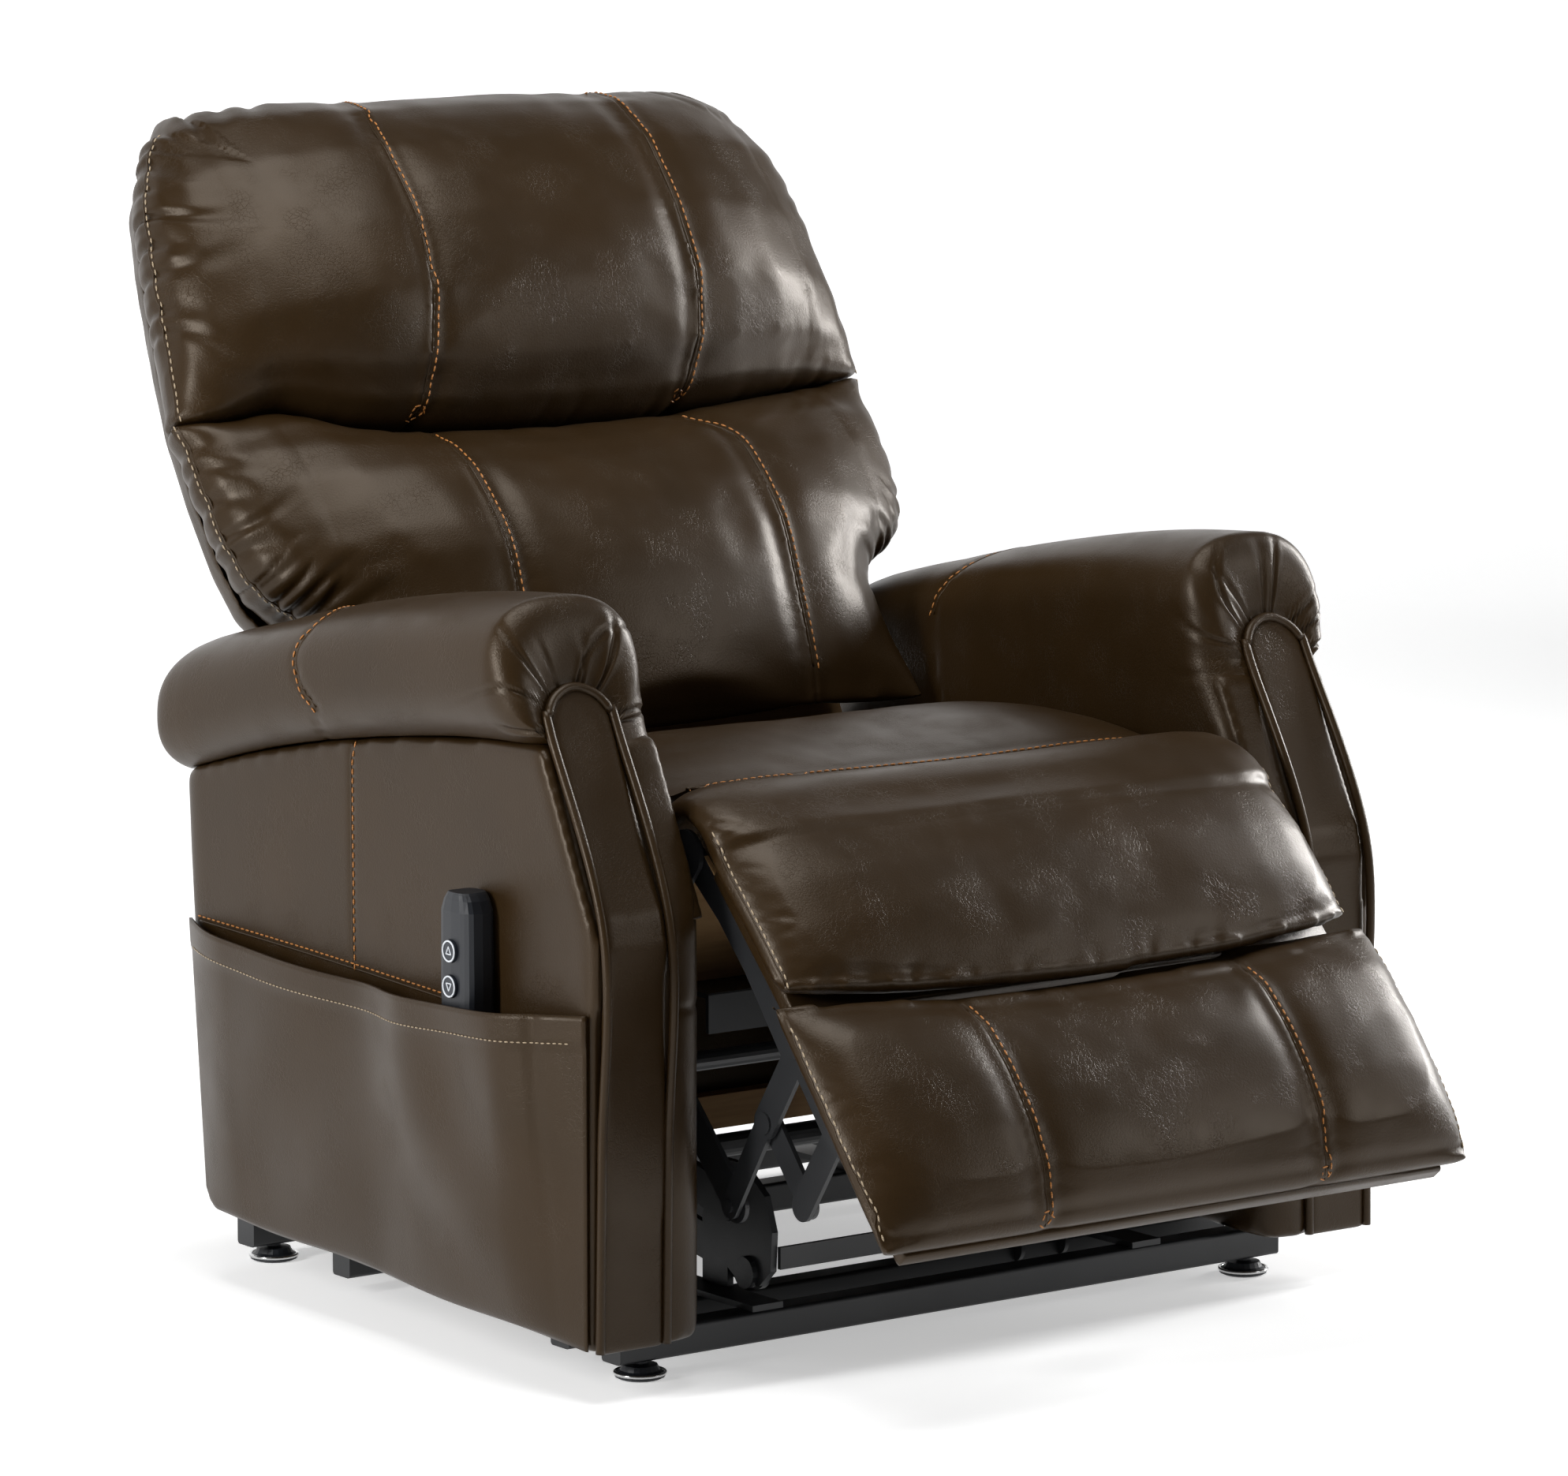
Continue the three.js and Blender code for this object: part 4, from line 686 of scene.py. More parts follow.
def beside(line: np.ndarray, piece: bpy.types.Object, offset: float) -> np.ndarray:
    """Shifts a line sideways along a piece's surface.

    Args:
        line: Rows of points on the surface, in metres.
        piece: The piece it lies on.
        offset: The shift in millimetres, to the left of the line's direction.

    Returns:
        The shifted line, laid on the surface again.
    """
    tree = BVHTree.FromObject(piece, bpy.context.evaluated_depsgraph_get())
    tangents = np.gradient(line, axis=0)
    moved = []
    for point, tangent in zip(line, tangents):
        _, normal, _, _ = tree.find_nearest(Vector(point))
        side = np.cross(np.array(normal), tangent / np.linalg.norm(tangent))
        moved.append(point + side * offset * MM)
    return on_surface(piece, np.array(moved))


# ------------------------------------------------------------------ padding


def even_out(piece: bpy.types.Object, rounds: int, pull: float, push: float) -> None:
    """Smooths a mesh; with a push against the pull its size is kept.

    Args:
        piece: The piece to smooth.
        rounds: How many times each step is done.
        pull: How far each point moves to the middle of its neighbours.
        push: The same for the second step, usually negative; 0 leaves it out.
    """
    rows = get_points(piece)
    ends = np.empty(len(piece.data.edges) * 2, np.int32)
    piece.data.edges.foreach_get("vertices", ends)
    a, b = ends.reshape(-1, 2).T
    count = len(rows)
    degree = np.maximum(np.bincount(a, minlength=count) + np.bincount(b, minlength=count), 1)
    for _ in range(rounds):
        for factor in (pull, push):
            if factor:
                middle = np.stack([np.bincount(a, rows[b, k], count) + np.bincount(b, rows[a, k], count)
                                   for k in range(3)], axis=1) / degree[:, None]
                rows += (middle - rows) * factor
    set_points(piece, rows)


@dataclass
class Padding:
    """How a padded piece is softened, blown up and sewn."""

    voxel: float = 5.0
    smooth: int = 6
    shrink: float = 4.0
    pressure: float = 4.0
    growth: float = 0.004
    cap: float = 14.0
    rounds: int = 14
    frames: int = 20

    def soften(self, piece: bpy.types.Object) -> bpy.types.Object:
        """Remeshes the piece evenly and rounds its edges."""
        remesh = piece.modifiers.new("even", "REMESH")
        remesh.mode = "VOXEL"
        remesh.voxel_size = self.voxel * MM
        even_out(baked(piece), self.smooth, 0.5, 0.0)
        even_out(piece, self.rounds, 0.5, -0.53)
        return piece

    def inflate(self, piece: bpy.types.Object, held: Callable[[np.ndarray], np.ndarray]) -> None:
        """Blows the piece up as cloth, held where it is sewn or rests.

        Args:
            piece: The remeshed piece.
            held: Gives each point's hold, from 0 to 1, from rows of drawing millimetres.
        """
        start = get_points(piece)
        hold = np.clip(held(in_drawing(start)), 0, 1)
        slim = start - get_normals(piece) * self.shrink * MM * (1 - hold)[:, None]
        set_points(piece, slim)
        group = piece.vertex_groups.new(name="held")
        for weight in (0.25, 0.5, 0.75, 1.0):
            chosen = np.nonzero(np.abs(np.round(hold * 4) / 4 - weight) < 0.01)[0]
            group.add(chosen.tolist(), weight, "REPLACE")
        blown = self.blow(piece, group.name)
        if not np.isfinite(blown).all() or np.abs(blown - slim).max() > 0.2:
            log.warning("%s: the cloth run came apart, and the padding keeps its built shape", piece.name)
            blown = start
        # The movement is evened out, so that only the padding's fullness and broad folds stay.
        set_points(piece, blown - slim)
        even_out(piece, self.rounds, 0.5, 0.0)
        move = get_points(piece)
        far = np.linalg.norm(move, axis=1, keepdims=True)
        set_points(piece, slim + move * np.minimum(1, self.cap * MM / np.maximum(far, 1e-9)))

    def blow(self, piece: bpy.types.Object, held: str) -> np.ndarray:
        """Runs the cloth on a piece.

        Args:
            piece: The piece to blow up.
            held: The vertex group that holds it.

        Returns:
            Rows of the blown points.
        """
        cloth = piece.modifiers.new("cloth", "CLOTH")
        settings = cloth.settings
        settings.quality = 5
        settings.mass = 0.4
        settings.tension_stiffness = settings.compression_stiffness = 12
        settings.shear_stiffness = 6
        settings.bending_stiffness = 0.6
        settings.use_pressure = True
        settings.uniform_pressure_force = self.pressure
        settings.shrink_min = -self.growth
        settings.vertex_group_mass = held
        settings.effector_weights.gravity = 0
        cloth.collision_settings.use_collision = False
        cloth.collision_settings.use_self_collision = False
        cloth.point_cache.frame_start, cloth.point_cache.frame_end = 1, self.frames
        scene = bpy.context.scene
        for step in range(1, self.frames + 1):
            scene.frame_set(step)
        rows = get_points(piece.evaluated_get(bpy.context.evaluated_depsgraph_get()))
        piece.modifiers.remove(cloth)
        scene.frame_set(1)
        return rows


def refine(piece: bpy.types.Object) -> bpy.types.Object:
    """Subdivides a piece once."""
    finer = piece.modifiers.new("finer", "SUBSURF")
    finer.levels = finer.render_levels = 1
    return baked(piece)


def press(piece: bpy.types.Object, depth: Callable[[np.ndarray], np.ndarray]) -> None:
    """Moves a piece's points along their normals.

    Args:
        piece: The piece to shape.
        depth: Gives each point's rise in millimetres from rows of drawing millimetres. Negative presses in.
    """
    rows = get_points(piece)
    set_points(piece, rows + get_normals(piece) * depth(in_drawing(rows))[:, None] * MM)


def bell(distance: np.ndarray, width: float | np.ndarray) -> np.ndarray:
    """Gives a soft bump's share, 1 in the middle and near 0 past twice the width."""
    return np.exp(-((distance / width) ** 2))


def ramp(value: np.ndarray, start: float, length: float) -> np.ndarray:
    """Gives a share that grows from 0 at the start to 1 a length further on."""
    return np.clip((value - start) / length, 0, 1)


def valley(distance: np.ndarray, width: float) -> np.ndarray:
    """Gives a sewn valley's depth share, 1 on the line and fading over the width."""
    return 1 / (1 + (distance / width) ** 2) ** 1.5


@dataclass(frozen=True)
class Gathers:
    """Gathered folds that run in from a seam: each its own length, slant and depth, from one seed."""

    start: float
    end: float
    count: int
    reach: float
    depth: float
    width: float
    slant: float = 0.0
    seed: int = 1

    def rise(self, along: np.ndarray, inward: np.ndarray) -> np.ndarray:
        """Gives the folds' rise in millimetres.

        Args:
            along: Distance along the seam.
            inward: Distance in from the seam.

        Returns:
            The rise, negative in the tucks and slightly positive beside them.
        """
        random = np.random.default_rng(self.seed)
        inward = np.maximum(inward, 0)
        total = np.zeros_like(along)
        for k in range(self.count):
            at = self.start + (self.end - self.start) * (k + random.uniform(0.2, 0.8)) / self.count
            length = self.reach * random.uniform(0.45, 1.25)
            slope = self.slant + random.uniform(-0.25, 0.25)
            bend = random.uniform(-0.6, 0.6) / self.reach
            deep, wide = self.depth * random.uniform(0.5, 1.2), self.width * random.uniform(0.7, 1.3)
            off = along - (at + slope * inward + bend * inward**2)
            spread = wide * (0.55 + inward / length)
            fade = np.clip(1 - inward / length, 0, 1) ** 1.3
            total -= deep * fade * (bell(off, spread) - 0.5 * bell(off, 2.3 * spread))
        return total


def seam_distance(across: np.ndarray, up: np.ndarray, outline: Sequence[tuple[float, float]]) -> tuple:
    """Finds where points lie against a seam's outline.

    Args:
        across: The points' first coordinate.
        up: Their second coordinate.
        outline: The seam's corners in the same plane.

    Returns:
        The distance along the seam, and the distance from it.
    """
    best, along, length = np.full_like(across, 1e9), np.zeros_like(across), 0.0
    for (x0, y0), (x1, y1) in zip(outline, outline[1:]):
        span = math.hypot(x1 - x0, y1 - y0)
        share = np.clip(((across - x0) * (x1 - x0) + (up - y0) * (y1 - y0)) / span**2, 0, 1)
        away = np.hypot(across - x0 - share * (x1 - x0), up - y0 - share * (y1 - y0))
        nearer = away < best
        best, along = np.where(nearer, away, best), np.where(nearer, length + share * span, along)
        length += span
    return along, best


def swell(rows: np.ndarray, size: float, seed: float) -> np.ndarray:
    """Gives slow uneven swelling, about -1 to 1, from crossed waves of a given size in millimetres."""
    x, y, z = (rows / size).T
    return (np.sin(x * 1.9 + 1.3 * np.sin(z * 1.1 + seed)) * np.cos(y * 1.7 + z * 0.9 + 2 * seed)
            + 0.5 * np.sin(z * 2.6 + x * 1.2 + 3 * seed)) / 1.5


@dataclass
class Seam:
    """A lapped seam: a thin folded edge along the line, and one row of stitches beside it."""

    welt: float = 1.25
    beside: float = 4.6

    def sew(self, name: str, piece: bpy.types.Object, lines: Sequence[np.ndarray], body: Body,
            finishes: Finishes, sides: Sequence[float], thread: bpy.types.Material | None = None,
            facing: Point | None = None) -> None:
        """Lays the folded edge and the stitches on a piece.

        Args:
            name: The seam's name.
            piece: The leather it is sewn on.
            lines: The seam's lines, near the piece's surface, in metres.
            body: The group it moves with.
            finishes: The chair's finishes.
            sides: For each line, 1 or -1 for the side its stitches lie on.
            thread: The thread, when it isn't the usual one.
            facing: The direction the leather faces there, when the lines are laid straight down on it.
        """
        rows = []
        for k, (line, side) in enumerate(zip(lines, sides)):
            laid = on_surface(piece, line, -0.35 * self.welt, facing)
            edge = tube(f"{name}_edge_{k}", laid, self.welt * MM, 8)
            finish_piece(edge, body, finishes.leather)
            rows.append(beside(laid, piece, side * self.beside))
        Stitching().lay(f"{name}_stitches", rows, body, thread or finishes.thread)


# ------------------------------------------------------------------ back


@dataclass
class Back:
    """The tilted back: lumbar and head pillows, and the leather tray behind them."""

    pivot: tuple[float, float] = (575.0, 400.0)
    angle: float = 28.0
    sewn_x: float = 143.5
    crease: float = 280.0
    half_width: float = 361.0
    rim: float = 56.0
    head_outline: tuple = ((361, 316), (352, 400), (344, 470), (332, 530), (317, 565), (297, 590),
                           (268, 604), (130, 607), (-10, 607))
    lumbar_outline: tuple = ((361, 318), (361, 250), (357, 200), (344, 165), (322, 143), (292, 125),
                             (272, 104), (271, 14))
    head_seam: tuple = ((287, 106), (292, 118), (330, 160), (390, 182), (452, 182), (529, 162), (583, 122),
                        (604, 92))
    lumbar_seam: tuple = ((14, 175), (59, 186), (108, 195), (160, 194), (219, 174), (240, 155), (266, 126))
    rim_corners: int = 6

    @property
    def lean(self) -> tuple[float, float]:
        """Gives the sine and cosine of the back's tilt."""
        return math.sin(math.radians(self.angle)), math.cos(math.radians(self.angle))

    def local(self, rows: np.ndarray) -> tuple[np.ndarray, np.ndarray, np.ndarray]:
        """Gives x, the height up the back and the distance in front of its middle plane."""
        s, c = self.lean
        dy, dz = rows[:, 1] - self.pivot[0], rows[:, 2] - self.pivot[1]
        return rows[:, 0], dy * s + dz * c, -dy * c + dz * s

    def world(self, x: float, t: float, m: float) -> Point:
        """Gives the drawing point at x, t up the back and m in front of it."""
        s, c = self.lean
        return x, self.pivot[0] + t * s - m * c, self.pivot[1] + t * c + m * s

    def crease_at(self, x: np.ndarray) -> np.ndarray:
        """Gives the crease's height up the back at x."""
        return self.crease + 38 * (x / self.half_width) ** 2

    def settled(self, rows: np.ndarray) -> np.ndarray:
        """Gives the padding as worn: rims drawn forward, and the lumbar's end lapping over the head's.

        Args:
            rows: The drawing points of a pillow or the tray, or of a line on it.

        Returns:
            The moved points.
        """
        rows = rows.copy()
        x, t, _ = self.local(rows)
        away = t - self.crease_at(x)
        side, low = ramp(np.abs(x), 280, 60), np.clip((330 - t) / 180, 0, 1)
        rows[:, 0] += 5 * side * (x > 0) * ramp(t, 420, 100) - 6 * side * low * np.sign(x)
        rows[:, 1] -= 4 + 7 * side + 9 * side * low
        rows[:, 2] -= 4 * ramp(t, 480, 110)
        lap = 13 * bell(x + 262, 42) * bell(away, 34)
        shut = -6 * np.tanh(away / 8) * bell(away, 40) * ramp(np.abs(x), 300, 40)
        rows[:, 2] += (lap + shut) * 0.88
        rows[:, 1] += (lap + shut) * 0.47
        return rows

    def sewn(self, x: np.ndarray, t: np.ndarray) -> np.ndarray:
        """Gives how far from the middle the sewn line of x's side runs at the height t up the back."""
        left = 16 * ramp(t, 300, 120) + 18 * ramp(t, 540, 60)
        head = 12 * np.clip((345 - t) / 55, 0, 1) - 7 * ramp(t, 480, 100)
        right = np.where(t > self.crease, head, 28 * ramp(t, 228, 40) ** 2)
        return self.sewn_x - np.where(x < 0, left, right)

    def held(self, rows: np.ndarray) -> np.ndarray:
        """Holds the pillows at their backs, rims, creases and sewn lines."""
        x, t, m = self.local(rows)
        sewn = 0.75 * bell(np.abs(x) - self.sewn(x, t), 6)
        rim = np.clip((self.rim - m) / 16, 0, 1)
        return np.maximum.reduce([sewn, rim, 0.8 * bell(t - self.crease_at(x), 7)])

    def seams(self, x: np.ndarray, t: np.ndarray) -> np.ndarray:
        """Draws the leather in along both sewn lines."""
        away = np.abs(x) - self.sewn(x, t)
        return -2.4 * valley(away, 3.0) - 1.8 * bell(away, 22)

    def head_folds(self, rows: np.ndarray) -> np.ndarray:
        """Shapes the head pillow: seams, gathers round its sides and top corners, slow swelling."""
        x, t, m = self.local(rows)
        along, inward = seam_distance(np.abs(x), t, self.head_outline)
        inward = inward + np.clip(m - 60, 0, 60) * 0.25
        side = np.where(x < 0, Gathers(70, 400, 12, 92, 6.0, 9.5, -0.55, 5).rise(along, inward),
                        Gathers(60, 400, 12, 62, 4.5, 9.0, -0.5, 11).rise(along, inward))
        above = t - self.crease_at(x)
        low = Gathers(-340, 340, 12, 34, 1.6, 10, 0.0, 23).rise(x, above)
        meet = 4.5 * bell(above - 8, 10) * ramp(m, 8, 12)
        return side + meet + (self.seams(x, t) + low + 1.5 * swell(rows, 72, 0.4)) * ramp(m, 40, 30)

    def lumbar_folds(self, rows: np.ndarray) -> np.ndarray:
        """Shapes the lumbar pillow: seams, tucks over the arms and under the crease."""
        x, t, m = self.local(rows)
        along, inward = seam_distance(np.abs(x), t, self.lumbar_outline)
        side = np.where(x < 0, Gathers(10, 170, 6, 60, 4.5, 9, 0.4, 7).rise(along, inward),
                        Gathers(10, 170, 6, 50, 4.0, 9, 0.4, 13).rise(along, inward))
        over = Gathers(158, 262, 6, 74, 7.0, 7.5, 0.25, 3).rise(along, inward)
        below = self.crease_at(x) - t
        top = Gathers(-340, 340, 11, 36, 1.6, 11, 0.0, 29).rise(x, below)
        meet = 4.5 * bell(below - 8, 10) * ramp(m, 8, 12)
        return side + meet + (self.seams(x, t) + over + top + 1.6 * swell(rows, 76, 2.4)) * ramp(m, 40, 30)

    def build(self, finishes: Finishes) -> None:
        """Builds the pillows, their stitching and the tray."""
        padding = Padding(cap=22)
        for node, shape in (("head_pillow", self.head_folds), ("lumbar_pillow", self.lumbar_folds)):
            pillow = padding.soften(copy_of(node, f"{node}_cover"))
            padding.inflate(pillow, self.held)
            press(refine(pillow), shape)
            move_points(pillow, self.settled)
            self.stitch(pillow, node, finishes)
            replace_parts(finish_piece(pillow, Body.BACK, finishes.leather), node)
        tray = Padding(voxel=4.0, smooth=3).soften(copy_of("back_cover", "back_leather"))
        press(tray, lambda rows: 0.6 * swell(rows, 90, 1.0))
        move_points(tray, self.settled)
        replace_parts(finish_piece(tray, Body.BACK, finishes.leather), "back_cover")

    def stitch(self, pillow: bpy.types.Object, node: str, finishes: Finishes) -> None:
        """Sews the pillow's two front seams, and the seam round its rim."""
        head = node == "head_pillow"
        seam = self.head_seam if head else self.lumbar_seam
        corners = (self.head_outline if head else self.lumbar_outline)[: self.rim_corners]
        lines, rims = [], []
        for side in (-1, 1):
            apart = side * self.sewn(np.full(len(seam), side), np.array([t for t, _ in seam]))
            lines.append([self.world(x, t, m) for x, (t, m) in zip(apart, seam)])
            rims.append([self.world(side * (w - 2), t, self.rim + 6) for w, t in corners])
        lines, rims = ([place_all(self.settled(smooth_path(path, 4))) for path in paths]
                       for paths in (lines, rims))
        s, c = self.lean
        Seam().sew(f"{node}_seam", pillow, lines, Body.BACK, finishes, (-1.0, -1.0), facing=(0.0, -c, s))
        Seam(welt=0.9, beside=3.4).sew(f"{node}_rim", pillow, rims, Body.BACK, finishes, (-1.0, 1.0),
                                       finishes.pale_thread)


# ------------------------------------------------------------------ seat and footrest


@dataclass
class Seat:
    """The seat cushion between the arms, with the sewn edge along its front."""

    half_width: float = 261.0

    def seam(self, x: float) -> Point:
        """Gives the front seam's point at x."""
        u = x / self.half_width
        return x, 84 - 10 * u * u, 461 + 12 * u * u

    def held(self, rows: np.ndarray) -> np.ndarray:
        """Holds the cushion at its underside, its hollowed front and its rear tongue."""
        _, y, z = rows.T
        low, front = np.clip((436 - z) / 14, 0, 1), np.clip((96 - y) / 12, 0, 1)
        return np.maximum.reduce([low, front, ramp(y, 398, 10)])

    def folds(self, rows: np.ndarray) -> np.ndarray:
        """Shapes the top: slow swelling and a slight draw towards the front seam."""
        x, y, z = rows.T
        near = np.exp(-np.maximum(y - 84, 0) / 16)
        edge = -1.5 * valley(y - 86 + 8 * (x / self.half_width) ** 2, 3.5)
        return (1.6 * swell(rows, 85, 5.2) * (1 - near) + edge) * ramp(z, 440, 15)

    def build(self, finishes: Finishes) -> None:
        """Builds the cushion and its stitched front edge."""
        padding = Padding(cap=10, smooth=8)
        cushion = padding.soften(copy_of("seat_cushion", "seat_leather"))
        padding.inflate(cushion, self.held)
        press(refine(cushion), self.folds)
        seam = place_all([self.seam(x) for x in np.linspace(-258, 258, 110)])
        Seam(welt=1.6).sew("seat_front_seam", cushion, [seam], Body.CARRIAGE, finishes, (1.0,))
        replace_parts(finish_piece(cushion, Body.CARRIAGE, finishes.leather), "seat_cushion")


@dataclass
class Pad:
    """One footrest pad on its board, which starts at a pivot and runs down and forward."""

    start: tuple[float, float]
    along: tuple[float, float]
    half_width: float = 281.0
    sewn_x: float = 130.0
    sag: float = 24.0
    forward: float = 17.0
    spread: float = 7.0

    @property
    def up(self) -> tuple[float, float]:
        """Gives the direction out of the board's face, in y and z."""
        return self.along[1], -self.along[0]

    def local(self, rows: np.ndarray) -> tuple[np.ndarray, np.ndarray, np.ndarray]:
        """Gives x, the distance along the board and the height above its pivots' line."""
        away = rows[:, 1:] - np.array(self.start)
        return rows[:, 0], away @ np.array(self.along), away @ np.array(self.up)

    def world(self, x: float, s: float, n: float) -> Point:
        """Gives the drawing point at x, s along the board and n above its pivots' line."""
        y, z = (float(self.start[k] + s * self.along[k] + n * self.up[k]) for k in (0, 1))
        return x, y, z

    def bow(self, x: np.ndarray) -> np.ndarray:
        """Gives how far the crease bows along the pads at x."""
        return self.sag * (x / self.half_width) ** 2

    def settled(self, rows: np.ndarray) -> np.ndarray:
        """Gives the pad as worn: its face a little forward of its board, and its sides spread.

        Args:
            rows: The drawing points of the pad, or of a line on it.

        Returns:
            The moved points.
        """
        rows = rows.copy()
        x, _, n = self.local(rows)
        free = np.clip((40 - rows[:, 1]) / 50, 0, 1)
        spread = self.spread * free * np.clip(np.abs(x) / self.sewn_x, 0, 1.3)
        rows[:, 0] += np.sign(x) * spread * ramp(n, 25, 12)
        rows[:, 1] -= self.forward * ramp(n, 27, 26) * free
        return rows

    def wrap(self, name: str, half: float, span: tuple[float, float], body: Body, finishes: Finishes) -> None:
        """Wraps the board in leather: a thin soft-edged case round its edges and underside.

        Args:
            name: The piece's name.
            half: The board's half-width.
            span: Where the board starts and ends along its length.
            body: The group it moves with.
            finishes: The chair's finishes.
        """
        rings = []
        low, high, radius = 12.4, 27.0, 3.0
        for x, shrink in ((-half, 3.0), (-half + 0.6, 1.0), (-half + 2, 0.0),
                          (half - 2, 0.0), (half - 0.6, 1.0), (half, 3.0)):
            ring = []
            for s, n, ds, dn in ((span[0], low, 1, 1), (span[1], low, -1, 1),
                                 (span[1], high, -1, -1), (span[0], high, 1, -1)):
                for turn in math.atan2(-dn, -ds) + np.array((-0.6, -0.2, 0.2, 0.6)):
                    ring.append(self.world(x, s + ds * (radius + shrink) + radius * math.cos(turn),
                                           n + dn * (radius + shrink) + radius * math.sin(turn)))
            rings.append(place_all(ring))
        finish_piece(loft(name, np.array(rings)), body, finishes.leather)


@dataclass
class UpperPad(Pad):
    """The pad between the seat and the knuckle."""

    start: tuple[float, float] = (48.0, 415.0)
    knuckle: tuple[float, float] = (-80.0, 282.0)
    along: tuple[float, float] = (0.0, 0.0)
    crease: float = 172.0

    def __post_init__(self) -> None:
        """Points the board from the hip to the knuckle."""
        slope = np.array(self.knuckle) - np.array(self.start)
        self.along = tuple(slope / np.linalg.norm(slope))

    def held(self, rows: np.ndarray) -> np.ndarray:
        """Holds the pad at its board, its rounded end and its crease."""
        x, s, n = self.local(rows)
        crease = ramp(s, self.crease - self.bow(x), 8)
        return np.maximum.reduce([np.clip((38 - n) / 8, 0, 1), np.clip((26 - s) / 10, 0, 1), crease])

    def folds(self, rows: np.ndarray) -> np.ndarray:
        """Shapes the pad: small tucks along its side seams and the crease."""
        x, s, n = self.local(rows)
        inward = self.half_width - np.abs(x) + np.clip(n - 50, 0, 30) * 0.3
        side = np.where(x < 0, Gathers(-40, 160, 17, 34, 4.2, 3.8, 0.25, 31).rise(s, inward),
                        Gathers(-40, 160, 15, 34, 3.6, 4.2, 0.25, 37).rise(s, inward))
        fall = self.crease + 4 - self.bow(x) - s
        low = Gathers(-270, 270, 13, 26, 1.8, 9, 0.0, 41).rise(x, fall)
        folds = (side + low + 1.5 * swell(rows, 72, 7.0)) * ramp(n, 40, 14)
        return folds + 3.6 * bell(fall + 2, 9) * ramp(n, 30, 12)

    def edges(self) -> list[list[Point]]:
        """Gives the corners of both side seams."""
        return [[self.world(side * self.half_width, s, 42) for s in (10, 50, 100, 148)] for side in (-1, 1)]


@dataclass
class LowerPad(Pad):
    """The pad below the knuckle, with two sewn lines down its face."""

    start: tuple[float, float] = (-80.0, 282.0)
    angle: float = 50.4
    along: tuple[float, float] = (0.0, 0.0)
    spread: float = 11.0
    seam: tuple = ((8, 66), (30, 72), (70, 76), (115, 74), (155, 66), (184, 54), (196, 44))

    def __post_init__(self) -> None:
        """Points the board down at its angle."""
        self.along = (-math.cos(math.radians(self.angle)), -math.sin(math.radians(self.angle)))

    def held(self, rows: np.ndarray) -> np.ndarray:
        """Holds the pad at its board, crease, lower end and sewn lines."""
        x, s, n = self.local(rows)
        crease = np.clip((10 - self.bow(x) - s) / 8, 0, 1)
        return np.maximum.reduce([np.clip((38 - n) / 8, 0, 1), bell(np.abs(x) - self.sewn_x, 7), crease,
                                  ramp(s, 190, 8)])

    def folds(self, rows: np.ndarray) -> np.ndarray:
        """Shapes the pad: sewn seams, and tucks along the sides and under the crease."""
        x, s, n = self.local(rows)
        inward = self.half_width + 10 - np.abs(x) + np.clip(n - 50, 0, 30) * 0.3
        side = np.where(x < 0, Gathers(0, 200, 15, 28, 3.2, 3.8, 0.2, 43).rise(s, inward),
                        Gathers(0, 200, 13, 24, 2.4, 4.2, 0.2, 47).rise(s, inward))
        away = np.abs(x) - self.sewn_x
        sewn = -2.2 * valley(away, 3.6) - 1.4 * bell(away, 20)
        near = s + self.bow(x)
        top = Gathers(-270, 270, 12, 24, 1.6, 10, 0.0, 53).rise(x, near)
        folds = (side + sewn + top + 1.3 * swell(rows, 75, 9.1)) * ramp(n, 36, 12)
        return folds + 3.6 * bell(near - 2, 9) * ramp(n, 30, 12)

    def edges(self) -> list[list[Point]]:
        """Gives the corners of both side seams."""
        half = self.half_width + 10
        return [[self.world(side * half, s, 40) for s in (4, 60, 120, 185)] for side in (-1, 1)]


@dataclass
class Footrest:
    """The two footrest pads, which meet at a crease above the knuckle."""

    upper: UpperPad = field(default_factory=UpperPad)
    lower: LowerPad = field(default_factory=LowerPad)

    def build(self, finishes: Finishes) -> None:
        """Builds both pads and their stitching, and wraps their boards."""
        padding = Padding()
        for node, body, pad in (("chaise_pad", Body.CHAISE, self.upper),
                                ("ottoman_pad", Body.OTTOMAN, self.lower)):
            piece = padding.soften(copy_of(node, f"{node}_leather"))
            padding.inflate(piece, pad.held)
            press(refine(piece), pad.folds)
            move_points(piece, pad.settled)
            if body is Body.OTTOMAN:
                seams = [[pad.world(side * pad.sewn_x, s, n) for s, n in pad.seam] for side in (-1, 1)]
                Seam().sew("ottoman_seam", piece, self.lines(pad, seams), body, finishes, (1.0, 1.0),
                           facing=(0.0, *pad.up))
            edges = self.lines(pad, pad.edges())
            Seam(welt=0.9, beside=2.6).sew(f"{node}_edge", piece, edges, body, finishes, (1.0, -1.0),
                                           finishes.pale_thread)
            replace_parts(finish_piece(piece, body, finishes.leather), node)
        length = math.dist(self.upper.start, self.upper.knuckle)
        self.upper.wrap("chaise_board_wrap", 272.5, (31, length - 11), Body.CHAISE, finishes)
        self.lower.wrap("ottoman_board_wrap", 272.0, (13, 203), Body.OTTOMAN, finishes)

    def lines(self, pad: Pad, paths: Sequence[Sequence[Point]]) -> list[np.ndarray]:
        """Draws seams through their corners on a pad, in metres."""
        return [place_all(pad.settled(smooth_path(path, 4))) for path in paths]


# ------------------------------------------------------------------ arms


